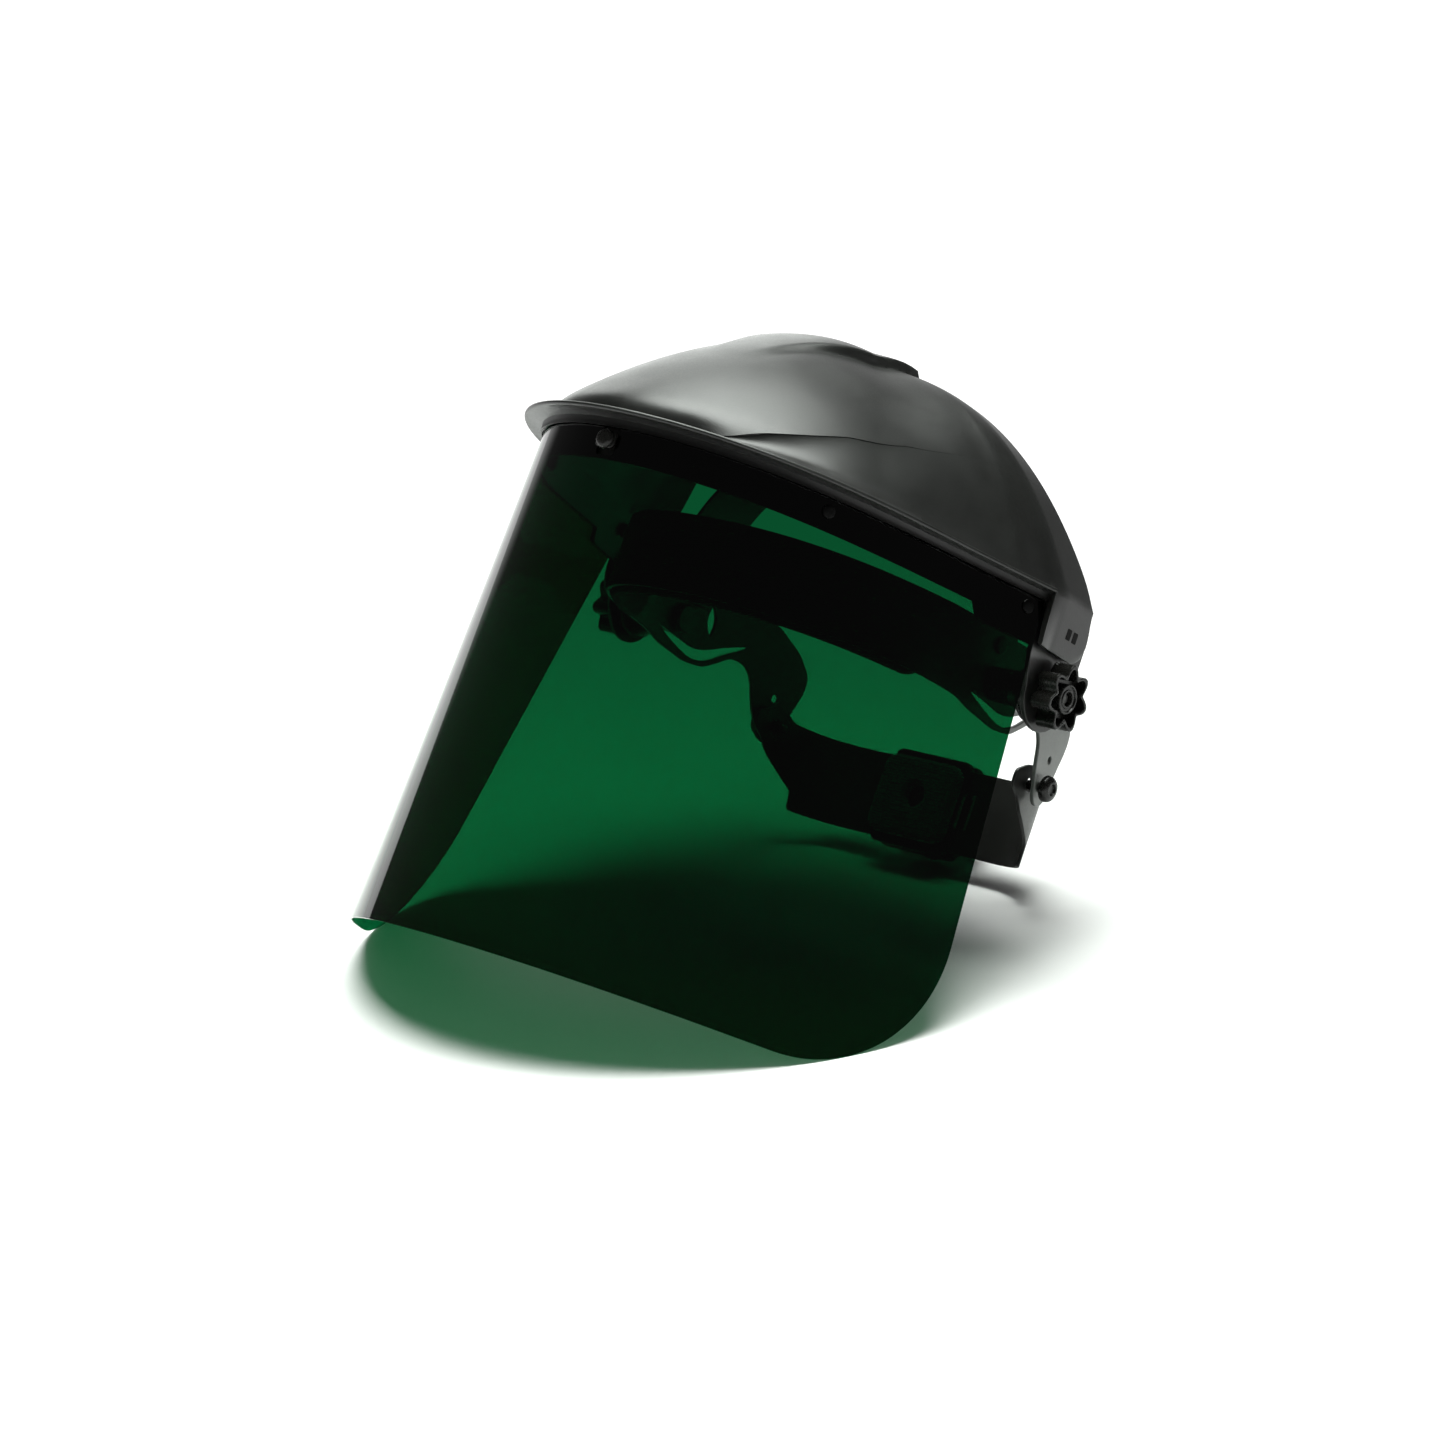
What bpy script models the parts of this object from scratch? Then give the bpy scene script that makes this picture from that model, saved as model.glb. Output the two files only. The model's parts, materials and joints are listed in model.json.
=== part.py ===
"""Face shield with a domed crown, a tinted wrap-round window and a ratchet head harness.

The parts are modelled in the frame of the wearer: X to the wearer's left, -Y forward, Z up, with Z = 0 on the
underside of the crown's rim. A root empty then leans the whole shield back, so that it rests on a flat floor at
Z = 0 on the window's two lower rear corners and on the ratchet knob. Lengths are in millimetres until they are
written to a mesh.
"""

import math

import bmesh
import bpy
import numpy as np
from mathutils import Matrix, Vector
from mathutils.geometry import delaunay_2d_cdt

MM = 0.001

# Resting pose: how far the worn frame leans back about X.
PITCH_DEG = 29.938

# Window sheet, 8 in x 15.5 in x 1 mm. Its upper and lower edges are plan curves of equal length.
SHEET_HALF = 197.0
SHEET_THICK = 1.0
WINDOW_TOP = -3.0
WINDOW_BOTTOM = -206.2
CURVE_TOP_Z = 21.0
CURVE_BOTTOM_Z = -208.0
TOP_TURN_DEG = 70.3
TOP_BIAS = 1.36
BOTTOM_TURN_DEG = 63.2
BOTTOM_BIAS = 0.91
FRONT_Y = -150.0
BOTTOM_SLIP = 1.1
CORNER_RADIUS = 60.0

# Crown dome, rim lip and ear.
TAIL_LENGTH = 31.5
TAIL_BEND = 11.0
LEAN_FADE = 9.0
DOME_HEIGHT = 71.0
DOME_POWER = 1.93
DOME_BACK_FULLNESS = 1.05
DOME_CENTRE_Y = -25.0
DOME_BASE_OFFSET = 6.0
DOME_THICK = 2.2
SPINE_SHARE = 0.133
LIP_FRONT = 11.0
LIP_SIDE = 7.0
LIP_BOTTOM = -2.4
EAR_BOTTOM = -22.0
EAR_OUTER = 2.6
EAR_INNER = 0.5

# Window rail inside the sheet, with the pivot arms behind it.
RAIL_OUTER = -0.9
RAIL_THICK = 2.0
RAIL_TOP = -2.8
RAIL_BOTTOM = -17.0

# Pivot axis of the crown on the harness.
PIVOT_Y = 19.0
PIVOT_Z = -36.5
BOLT_RADIUS = 2.5
KNOB_RADIUS = 13.5
KNOB_LOBES = 7
KNOB_THICK = 9.0
WASHER_THICK = 1.0
GAP = 0.3
BARREL_RADIUS = 12.0

# Harness band: a plan curve for the wearer's left half, from the brow to the nape pin.
BAND_POINTS = (
    (0.0, -80.0),
    (21.0, -78.0),
    (41.0, -70.0),
    (58.0, -55.0),
    (70.0, -34.0),
    (77.5, -11.0),
    (80.0, 8.0),
    (80.0, 31.0),
    (78.6, 49.0),
    (75.8, 67.0),
    (72.0, 84.0),
    (68.0, 101.0),
)
BAND_THICK = 1.8
BROW_TOP = -14.0
BROW_BOTTOM = -47.0
PIN_Y = 87.0
PIN_Z = -61.0

# Sweatband on the inside of the brow.
SWEAT_HALF = 108.0
SWEAT_THICK = 5.0

# Straps over the head.
STRAP_WIDTH = 33.0
STRAP_HALF = 76.6
STRAP_Y = 15.5
STRAP_THICK = 1.6
STRAP_RISE = 62.0
STRAP_BASE_Z = -14.0
STRAP_FOOT_Z = -29.0
STRAP_RIVET_Z = -21.5

# Nape straps and ratchet. The left strap's plan curve starts at its free end and passes outside its pin.
NAPE_START = -15.0
NAPE_POINTS = (
    (NAPE_START, 116.5),
    (0.0, 116.5),
    (20.0, 116.5),
    (38.0, 116.6),
    (49.0, 115.6),
    (57.5, 111.6),
    (62.8, 104.6),
    (65.4, 96.0),
    (67.0, 88.0),
    (67.7, 81.0),
    (68.2, 74.0),
)
NAPE_THICK = 1.5
NAPE_TOP = -56.0
NAPE_BOTTOM = -92.0
HOUSING_HALF = 20.0
STRAP_TRAVEL = 12.0
RATCHET_Z = -73.0
GEAR_TEETH = 10
GEAR_PITCH_RADIUS = 6.25
RATCHET_KNOB_RADIUS = 21.2


def clear_scene():
    for obj in list(bpy.data.objects):
        bpy.data.objects.remove(obj)


def principled(name, colour, roughness, metallic=0.0, alpha=1.0, transmission=0.0):
    mat = bpy.data.materials.new(name)
    mat.use_nodes = True
    shader = mat.node_tree.nodes["Principled BSDF"]
    shader.inputs["Base Color"].default_value = (*colour, 1.0)
    shader.inputs["Roughness"].default_value = roughness
    shader.inputs["Metallic"].default_value = metallic
    shader.inputs["Alpha"].default_value = alpha
    shader.inputs["Transmission Weight"].default_value = transmission
    return mat


def add_object(name, verts, faces, mat, origin=(0.0, 0.0, 0.0)):
    """Adds a closed mesh whose vertices are given in the worn frame, with its origin on the given point."""
    mesh = bpy.data.meshes.new(name)
    base = Vector(origin)
    mesh.from_pydata([(Vector(v) - base) * MM for v in verts], [], faces)
    bm = bmesh.new()
    bm.from_mesh(mesh)
    bmesh.ops.remove_doubles(bm, verts=bm.verts, dist=1e-7)
    bmesh.ops.dissolve_degenerate(bm, edges=bm.edges, dist=1e-8)
    bmesh.ops.recalc_face_normals(bm, faces=bm.faces)
    bmesh.ops.triangulate(bm, faces=bm.faces)
    bm.to_mesh(mesh)
    bm.free()
    mesh.materials.append(mat)
    obj = bpy.data.objects.new(name, mesh)
    obj.location = base * MM
    obj.parent = ROOT
    bpy.context.scene.collection.objects.link(obj)
    return obj


# ---------------------------------------------------------------- curves and surfaces


def turned_curve(turn_deg, bias, samples=801):
    """Half of a plan curve as arrays (length, x, y, heading): it starts at the front, heading along X."""
    s = np.linspace(0.0, 1.0, samples)
    heading = math.radians(turn_deg) * (s + bias / math.pi * np.sin(math.pi * s))
    step = SHEET_HALF / (samples - 1)
    x = np.concatenate(([0.0], np.cumsum((np.cos(heading[1:]) + np.cos(heading[:-1])) / 2 * step)))
    y = np.concatenate(([0.0], np.cumsum((np.sin(heading[1:]) + np.sin(heading[:-1])) / 2 * step)))
    return s * SHEET_HALF, x, y


TOP_CURVE = turned_curve(TOP_TURN_DEG, TOP_BIAS)
BOTTOM_CURVE = turned_curve(BOTTOM_TURN_DEG, BOTTOM_BIAS)


def on_curve(curve, u):
    side = 1.0 if u >= 0 else -1.0
    length, x, y = curve
    return side * float(np.interp(abs(u), length, x)), float(np.interp(abs(u), length, y))


def sheet_point(u, z):
    """A point of the window's middle surface: u along the arc from the front, z up."""
    t = (CURVE_TOP_Z - z) / (CURVE_TOP_Z - CURVE_BOTTOM_Z)
    xt, yt = on_curve(TOP_CURVE, u)
    xb, yb = on_curve(BOTTOM_CURVE, u)
    return Vector((
        xt + (xb - xt) * t,
        FRONT_Y + yt + (yb + BOTTOM_SLIP - yt) * t,
        z,
    ))


def tail_point(u, z):
    """Behind the sheet the surface turns straight back and upright, so that the pivot arms lie flat."""
    side = 1.0 if u >= 0 else -1.0
    end = sheet_point(SHEET_HALF, 0.0)
    before = sheet_point(SHEET_HALF - 1.0, 0.0)
    start_heading = math.atan2(end.y - before.y, end.x - before.x)
    x, y = end.x, end.y
    run = abs(u) - SHEET_HALF
    steps = 24
    for i in range(steps):
        here = run * (i + 0.5) / steps
        share = min(1.0, here / TAIL_BEND)
        heading = start_heading + (math.pi / 2 - start_heading) * share
        x += math.cos(heading) * run / steps
        y += math.sin(heading) * run / steps
    fade = min(1.0, run / LEAN_FADE)
    fade = fade * fade * (3 - 2 * fade)
    lean = sheet_point(SHEET_HALF, z) - sheet_point(SHEET_HALF, 0.0)
    x += lean.x * (1.0 - fade)
    y += lean.y * (1.0 - fade)
    return Vector((side * x, y, z))


def shell_point(u, z):
    return sheet_point(u, z) if abs(u) <= SHEET_HALF else tail_point(u, z)


def shell_offset(u, z, offset):
    """A point at a distance outside the shell surface, measured level."""
    low, high = u - 0.5, u + 0.5
    if abs(u) <= SHEET_HALF:
        low, high = max(low, -SHEET_HALF), min(high, SHEET_HALF)
    du = shell_point(high, z) - shell_point(low, z)
    out = Vector((du.y, -du.x, 0.0)).normalized()
    return shell_point(u, z) + out * offset


def smooth_path(points, samples=16):
    """A Catmull-Rom curve through plan points as arrays (length, x, y)."""
    pts = [np.array(p) for p in points]
    pts = [2 * pts[0] - pts[1]] + pts + [2 * pts[-1] - pts[-2]]
    out = []
    for i in range(1, len(pts) - 2):
        p0, p1, p2, p3 = pts[i - 1:i + 3]
        for k in range(samples):
            t = k / samples
            out.append(0.5 * (2 * p1 + (p2 - p0) * t + (2 * p0 - 5 * p1 + 4 * p2 - p3) * t ** 2
                              + (3 * p1 - p0 - 3 * p2 + p3) * t ** 3))
    out.append(pts[-2])
    out = np.array(out)
    length = np.concatenate(([0.0], np.cumsum(np.linalg.norm(np.diff(out, axis=0), axis=1))))
    return length, out[:, 0], out[:, 1]


BROW_FRONT_X = -BAND_POINTS[1][0]
BAND_PATH = smooth_path(((BROW_FRONT_X, BAND_POINTS[1][1]),) + BAND_POINTS)
BAND_ZERO = float(np.interp(0.0, BAND_PATH[1], BAND_PATH[0]))
NAPE_PATH = smooth_path(NAPE_POINTS)


def path_offset(path, u, offset):
    """A plan point at a distance to the right of a path's direction of travel."""
    length, x, y = path

    def at(v):
        return np.array((np.interp(v, length, x), np.interp(v, length, y)))

    low = max(u - 0.5, 0.0)
    high = min(u + 0.5, length[-1])
    d = at(high) - at(low)
    d = d / np.linalg.norm(d)
    return at(u) + np.array((d[1], -d[0])) * offset


def band_point(u, z, offset):
    """The harness band: u is the arc length from the middle of the brow, positive to the wearer's left."""
    side = 1.0 if u >= 0 else -1.0
    x, y = path_offset(BAND_PATH, abs(u) + BAND_ZERO, offset)
    return Vector((side * x, y, z))


def band_u(y):
    """Arc length along the band at which it reaches the plan position y."""
    return float(np.interp(y, BAND_PATH[2][40:], BAND_PATH[0][40:])) - BAND_ZERO


# ---------------------------------------------------------------- solid builders


def inside(point, loop):
    x, y = point
    hit = False
    for (x0, y0), (x1, y1) in zip(loop, loop[1:] + loop[:1]):
        if (y0 > y) != (y1 > y) and x < (x1 - x0) * (y - y0) / (y1 - y0) + x0:
            hit = not hit
    return hit


def refined(loop, step):
    out = []
    for (x0, y0), (x1, y1) in zip(loop, loop[1:] + loop[:1]):
        parts = max(1, math.ceil(abs(x1 - x0) / step - 1e-6))
        for k in range(parts):
            out.append((x0 + (x1 - x0) * k / parts, y0 + (y1 - y0) * k / parts))
    return out


def slab(outline, holes, place, step=1e9, rows=()):
    """A plate from a flat outline with holes. place(u, v, face) puts each flat point on face 0 or face 1.

    On a bent plate, step is the longest run along u, and rows are the v values that get points inside."""
    loops = [refined(list(outline), step)] + [refined(list(h), step) for h in holes]
    points = []
    edges = []
    for loop in loops:
        first = len(points)
        points += loop
        edges += [(first + i, first + (i + 1) % len(loop)) for i in range(len(loop))]
    if rows:
        edge_points = list(points)
        us = [p[0] for p in outline]
        count = math.ceil((max(us) - min(us)) / step)
        for i in range(1, count):
            u = min(us) + (max(us) - min(us)) * i / count
            for v in rows:
                near = min(math.hypot(u - p[0], v - p[1]) for p in edge_points)
                if inside((u, v), loops[0]) and not any(inside((u, v), h) for h in loops[1:]) and near > 1.2:
                    points.append((u, v))
    flat, _, tris, *_ = delaunay_2d_cdt([Vector(p) for p in points], edges, [], 0, 1e-5)
    kept = []
    for tri in tris:
        a, b, c = (flat[i] for i in tri)
        if abs((b - a).cross(c - a)) < 1e-4:
            continue
        c = (a + b + c) / 3
        if inside(c, loops[0]) and not any(inside(c, h) for h in loops[1:]):
            kept.append(tuple(tri))
    used = {}
    for tri in kept:
        for a, b in zip(tri, tri[1:] + tri[:1]):
            used.setdefault(frozenset((a, b)), []).append((a, b))
    n = len(flat)
    verts = [place(p.x, p.y, 0) for p in flat] + [place(p.x, p.y, 1) for p in flat]
    faces = list(kept) + [tuple(i + n for i in reversed(tri)) for tri in kept]
    for pair in used.values():
        if len(pair) == 1:
            a, b = pair[0]
            faces.append((b, a, a + n, b + n))
    return compacted(verts, faces)


def compacted(verts, faces):
    """Drops the vertices that no face uses."""
    used = sorted({i for f in faces for i in f})
    new = {old: k for k, old in enumerate(used)}
    return [verts[i] for i in used], [tuple(new[i] for i in f) for f in faces]


def ring(cx, cy, radius, count, start=0.0):
    return [
        (cx + radius * math.cos(start + 2 * math.pi * k / count), cy + radius * math.sin(start + 2 * math.pi * k / count))
        for k in range(count)
    ]


def box_loop(x0, y0, x1, y1):
    return [(x0, y0), (x1, y0), (x1, y1), (x0, y1)]


def rounded_loop(cx, cy, width, height, radius, corner=4):
    out = []
    for k, (sx, sy) in enumerate(((1, 1), (-1, 1), (-1, -1), (1, -1))):
        for i in range(corner + 1):
            a = math.pi / 2 * (k + i / corner)
            out.append((
                cx + sx * (width / 2 - radius) + radius * math.cos(a),
                cy + sy * (height / 2 - radius) + radius * math.sin(a),
            ))
    return out


def lathe(profile, origin, axis, count=24):
    """A solid of revolution. The profile is a closed loop of (radius, height) pairs in order."""
    axis = Vector(axis).normalized()
    side = axis.orthogonal().normalized()
    up = axis.cross(side)
    base = Vector(origin)
    verts = []
    index = []
    for r, h in profile:
        if r < 1e-9:
            index.append([len(verts)] * count)
            verts.append(base + axis * h)
        else:
            index.append([len(verts) + k for k in range(count)])
            for k in range(count):
                a = 2 * math.pi * k / count
                verts.append(base + axis * h + (side * math.cos(a) + up * math.sin(a)) * r)
    faces = []
    for p in range(len(profile)):
        q = (p + 1) % len(profile)
        if profile[p][0] < 1e-9 and profile[q][0] < 1e-9:
            continue
        for k in range(count):
            m = (k + 1) % count
            loop = [index[p][k], index[p][m], index[q][m], index[q][k]]
            clean = [v for i, v in enumerate(loop) if v != loop[i - 1]]
            faces.append(tuple(clean))
    return verts, faces


def plate_x(x0, x1):
    """Places flat (y, z) points on two planes of constant X."""
    return lambda u, v, face: Vector((x1 if face else x0, u, v))


def plate_y(y0, y1):
    """Places flat (x, z) points on two planes of constant Y."""
    return lambda u, v, face: Vector((u, y1 if face else y0, v))


# ---------------------------------------------------------------- crown and window


def dome_point(u, r):
    """The dome's outer surface: r runs from the spine over the head (0) to the rim (1)."""
    base = shell_offset(u, 0.0, dome_base_offset(u))
    back = max(0.0, base.y - DOME_CENTRE_Y)
    if back > 0:
        y = DOME_CENTRE_Y + back * (SPINE_SHARE + (1 - SPINE_SHARE) * r * r)
    else:
        y = DOME_CENTRE_Y + (base.y - DOME_CENTRE_Y) * r
    t = min(1.0, max(0.0, (base.y + 95.0) / 95.0))
    power = DOME_POWER + DOME_BACK_FULLNESS * t * t * (3 - 2 * t)
    return Vector((base.x * r, y, DOME_HEIGHT * (1 - r ** power) + 0.6))


def ear_share(u):
    """0 along the lip, 1 where the rim turns down into the ear."""
    return 1.0 if abs(u) > SHEET_HALF + 2.0 else 0.0


def dome_base_offset(u):
    if abs(u) <= SHEET_HALF - 20:
        return DOME_BASE_OFFSET
    t = min(1.0, (abs(u) - SHEET_HALF + 20) / 26.0)
    return DOME_BASE_OFFSET + (EAR_OUTER - DOME_BASE_OFFSET) * t


def crown_section(u):
    """One closed section of the crown, from the spine down the outside, round the rim and back up the inside."""
    radii = (0.0, 0.16, 0.32, 0.47, 0.61, 0.73, 0.84, 0.93, 1.0)
    outer = [dome_point(u, r) for r in radii]
    lip = LIP_SIDE + (LIP_FRONT - LIP_SIDE) * max(0.0, math.cos(math.pi / 2 * min(1.0, abs(u) / 150.0)))
    if ear_share(u) > 0.5:
        rim = [
            shell_offset(u, -4.0, EAR_OUTER),
            shell_offset(u, ear_bottom(u), EAR_OUTER),
            shell_offset(u, ear_bottom(u), EAR_INNER),
            shell_offset(u, -2.0, EAR_INNER),
        ]
    else:
        rim = [
            shell_offset(u, 0.0, lip) + Vector((0, 0, 0.2)),
            shell_offset(u, 0.0, lip) + Vector((0, 0, LIP_BOTTOM)),
            shell_offset(u, 0.0, 1.8) + Vector((0, 0, LIP_BOTTOM)),
            shell_offset(u, 0.0, 1.8) + Vector((0, 0, -0.8)),
        ]
    inner = []
    for r in (0.97, 0.86, 0.73, 0.59, 0.4, 0.2, 0.0):
        p = dome_point(u, r)
        across = dome_point(u + 1.0, r) - dome_point(u - 1.0, r)
        along = dome_point(u, min(1.0, r + 0.01)) - dome_point(u, max(0.0, r - 0.01))
        n = along.cross(across)
        n = Vector((0, 0, 1)) if n.length < 1e-6 or r < 0.01 else n.normalized()
        n = n if n.z > 0 else -n
        inner.append(p - n * DOME_THICK)
    return outer + rim + inner


def ear_bottom(u):
    """The ear's lower edge, rounded up at its rear corner."""
    back = abs(u) - (SHEET_HALF + TAIL_LENGTH - 14.0)
    return EAR_BOTTOM + (max(0.0, back) / 14.0) ** 2 * 12.0


def build_crown():
    tail = [SHEET_HALF + d for d in (1.9, 2.4, 8.0, 14.0, 20.0, 26.0, TAIL_LENGTH)]
    main = list(np.linspace(0.0, SHEET_HALF, 25))
    half = main + tail
    stations = [-u for u in reversed(half[1:])] + half
    sections = [crown_section(u) for u in stations]
    rows = len(sections[0])
    verts = [p for s in sections for p in s]
    faces = []
    for i in range(len(stations) - 1):
        for j in range(rows - 1):
            a, b = i * rows + j, (i + 1) * rows + j
            faces.append((a, a + 1, b + 1, b))
    # The trailing edge: the two end sections close against each other along the open back of the dome.
    for i in (0, len(stations) - 1):
        base = i * rows
        outer_count = 9
        outer = [base + k for k in range(outer_count)]
        inner = [base + rows - 1 - k for k in range(rows - outer_count - 4)]
        rim = [base + outer_count + k for k in range(4)]
        faces += bridge(verts, outer, inner)
        faces.append((outer[-1], rim[0], rim[3], inner[-1]))
        faces.append((rim[0], rim[1], rim[2], rim[3]))
    return add_object("crown_guard", verts, faces, SATIN_BLACK, (0, PIVOT_Y, PIVOT_Z))


def bridge(verts, one, two):
    """Triangles between two open rows of vertices that run side by side."""
    faces = []
    i = j = 0
    while i < len(one) - 1 or j < len(two) - 1:
        step_one = i < len(one) - 1 and (
            j == len(two) - 1
            or (verts[one[i + 1]] - verts[two[j]]).length <= (verts[two[j + 1]] - verts[one[i]]).length
        )
        if step_one:
            faces.append((one[i], one[i + 1], two[j]))
            i += 1
        else:
            faces.append((one[i], two[j + 1], two[j]))
            j += 1
    return faces


def shell_plate(outer, thick):
    return lambda u, v, face: shell_offset(u, v, outer - (thick if face else 0.0))


SIDE_STUD_U = 91.0
REAR_STUD_U = 190.0
STUD_Z = -10.0
LATCH_SLOT = (8.4, 12.0)


def window_outline():
    out = [(-SHEET_HALF, WINDOW_TOP)]
    arc = 8
    r = CORNER_RADIUS
    for k in range(arc + 1):
        a = math.pi / 2 * k / arc
        out.append((-SHEET_HALF + r - r * math.cos(a), WINDOW_BOTTOM + r - r * math.sin(a)))
    for k in range(arc + 1):
        a = math.pi / 2 * (1 - k / arc)
        out.append((SHEET_HALF - r + r * math.cos(a), WINDOW_BOTTOM + r - r * math.sin(a)))
    out.append((SHEET_HALF, WINDOW_TOP))
    return out


def stud_holes(radius):
    return [ring(u, STUD_Z, radius, 12) for u in (-REAR_STUD_U, -SIDE_STUD_U, SIDE_STUD_U, REAR_STUD_U)]


def build_window():
    slot = rounded_loop(0.0, STUD_Z, LATCH_SLOT[0], LATCH_SLOT[1], 1.5, 2)
    place = shell_plate(SHEET_THICK / 2, SHEET_THICK)
    verts, faces = slab(window_outline(), stud_holes(2.7) + [slot], place, 8.3, (-12.0, -26.0, -75.0, -140.0))
    add_object("window_lens", verts, faces, GREEN_WINDOW, (0, PIVOT_Y, PIVOT_Z))


def tail_u(y):
    """Arc length at which the tail of the shell reaches plan position y."""
    low, high = SHEET_HALF, SHEET_HALF + 60.0
    for _ in range(30):
        mid = (low + high) / 2
        if tail_point(mid, 0.0).y < y:
            low = mid
        else:
            high = mid
    return low


def build_rail():
    pu = tail_u(PIVOT_Y)
    half = [
        (0.0, RAIL_BOTTOM),
        (166.0, RAIL_BOTTOM),
        (169.0, -22.0),
        (173.0, -23.0),
        (197.0, -23.0),
        (201.0, -34.0),
    ]
    boss = [(pu + 15.0 * math.cos(a), PIVOT_Z + 15.0 * math.sin(a)) for a in np.linspace(math.pi * 1.02, math.pi * 2.0, 9)]
    back = [(pu + 15.0, -10.0), (pu + 13.0, -3.2), (pu - 8.0, RAIL_TOP)]
    right = half + boss + back
    outline = [(-u, v) for u, v in reversed(right)] + right[1:]
    holes = stud_holes(2.5) + [ring(0.0, STUD_Z, 2.9, 12)]
    for sign in (-1, 1):
        holes.append(ring(sign * pu, PIVOT_Z, BOLT_RADIUS + 0.3, 14))
        holes.append(rounded_loop(sign * (pu - 2.0), -18.6, 11.0, 3.4, 1.6, 3))
    verts, faces = slab(outline, holes, shell_plate(RAIL_OUTER, RAIL_THICK), 8.3, (-9.0, -23.0, -37.0))
    add_object("window_rail", verts, faces, GLOSS_BLACK, (0, PIVOT_Y, PIVOT_Z))


def shell_frame(u, z):
    """A point on the sheet's middle surface and its outward normal."""
    across = shell_point(u + 1.0, z) - shell_point(u - 1.0, z)
    down = shell_point(u, z - 1.0) - shell_point(u, z + 1.0)
    return shell_point(u, z), down.cross(across).normalized()


def build_studs():
    for name, u in (
        ("side_stud_left", SIDE_STUD_U),
        ("side_stud_right", -SIDE_STUD_U),
        ("rear_stud_left", REAR_STUD_U),
        ("rear_stud_right", -REAR_STUD_U),
    ):
        p, out = shell_frame(u, STUD_Z)
        profile = [
            (0.0, 4.6), (2.2, 4.3), (3.8, 3.2), (4.4, 0.9),
            (2.0, 0.9), (2.0, -3.8), (3.4, -3.8), (3.0, -4.9), (0.0, -4.9),
        ]
        verts, faces = lathe(profile, p, out, 16)
        add_object(name, verts, faces, GLOSS_BLACK, p)


def build_latch():
    """Turn latch at the middle of the window: an oblong head outside and a round foot inside."""
    y = FRONT_Y
    head = rounded_loop(0.0, STUD_Z, 12.4, 7.6, 2.0, 3)
    verts, faces = slab(head, [], lambda u, v, f: Vector((u, y - (3.9 if f else 0.9), v)))
    bm = bmesh.new()
    mesh_into(bm, verts, faces)
    shank = lathe([(0.0, 1.2), (2.55, 1.2), (2.55, -3.3), (4.2, -3.3), (4.2, -4.6), (0.0, -4.6)], (0, y, STUD_Z), (0, -1, 0), 16)
    mesh_into(bm, *shank)
    joined = union_mesh("center_latch", bm)
    finish_union("center_latch", joined, GLOSS_BLACK, (0, y, STUD_Z))


def mesh_into(bm, verts, faces):
    new = [bm.verts.new(v) for v in verts]
    for f in faces:
        bm.faces.new([new[i] for i in f])


def union_mesh(name, bm):
    """Resolves the overlapping closed shells in bm into one closed solid."""
    bmesh.ops.recalc_face_normals(bm, faces=bm.faces)
    mesh = bpy.data.meshes.new(name + "_parts")
    bm.to_mesh(mesh)
    bm.free()
    obj = bpy.data.objects.new(name + "_parts", mesh)
    bpy.context.scene.collection.objects.link(obj)
    empty = bpy.data.meshes.new(name + "_blank")
    cutter = bpy.data.objects.new(name + "_blank", empty)
    bpy.context.scene.collection.objects.link(cutter)
    mod = obj.modifiers.new("join", "BOOLEAN")
    mod.operation = "UNION"
    mod.solver = "EXACT"
    mod.use_self = True
    mod.object = cutter
    graph = bpy.context.evaluated_depsgraph_get()
    result = bpy.data.meshes.new_from_object(obj.evaluated_get(graph))
    bpy.data.objects.remove(obj)
    bpy.data.objects.remove(cutter)
    return result


def finish_union(name, mesh, mat, origin):
    verts = [v.co.copy() for v in mesh.vertices]
    faces = [tuple(p.vertices) for p in mesh.polygons]
    add_object(name, verts, faces, mat, origin)


# ---------------------------------------------------------------- pivots


def star_loop(radius, inner, lobes, per_lobe=6):
    out = []
    count = lobes * per_lobe
    for k in range(count):
        a = 2 * math.pi * k / count
        wave = 0.5 + 0.5 * math.cos(lobes * a)
        r = inner + (radius - inner) * wave ** 0.8
        out.append((PIVOT_Y + r * math.cos(a), PIVOT_Z + r * math.sin(a)))
    return out


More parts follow.
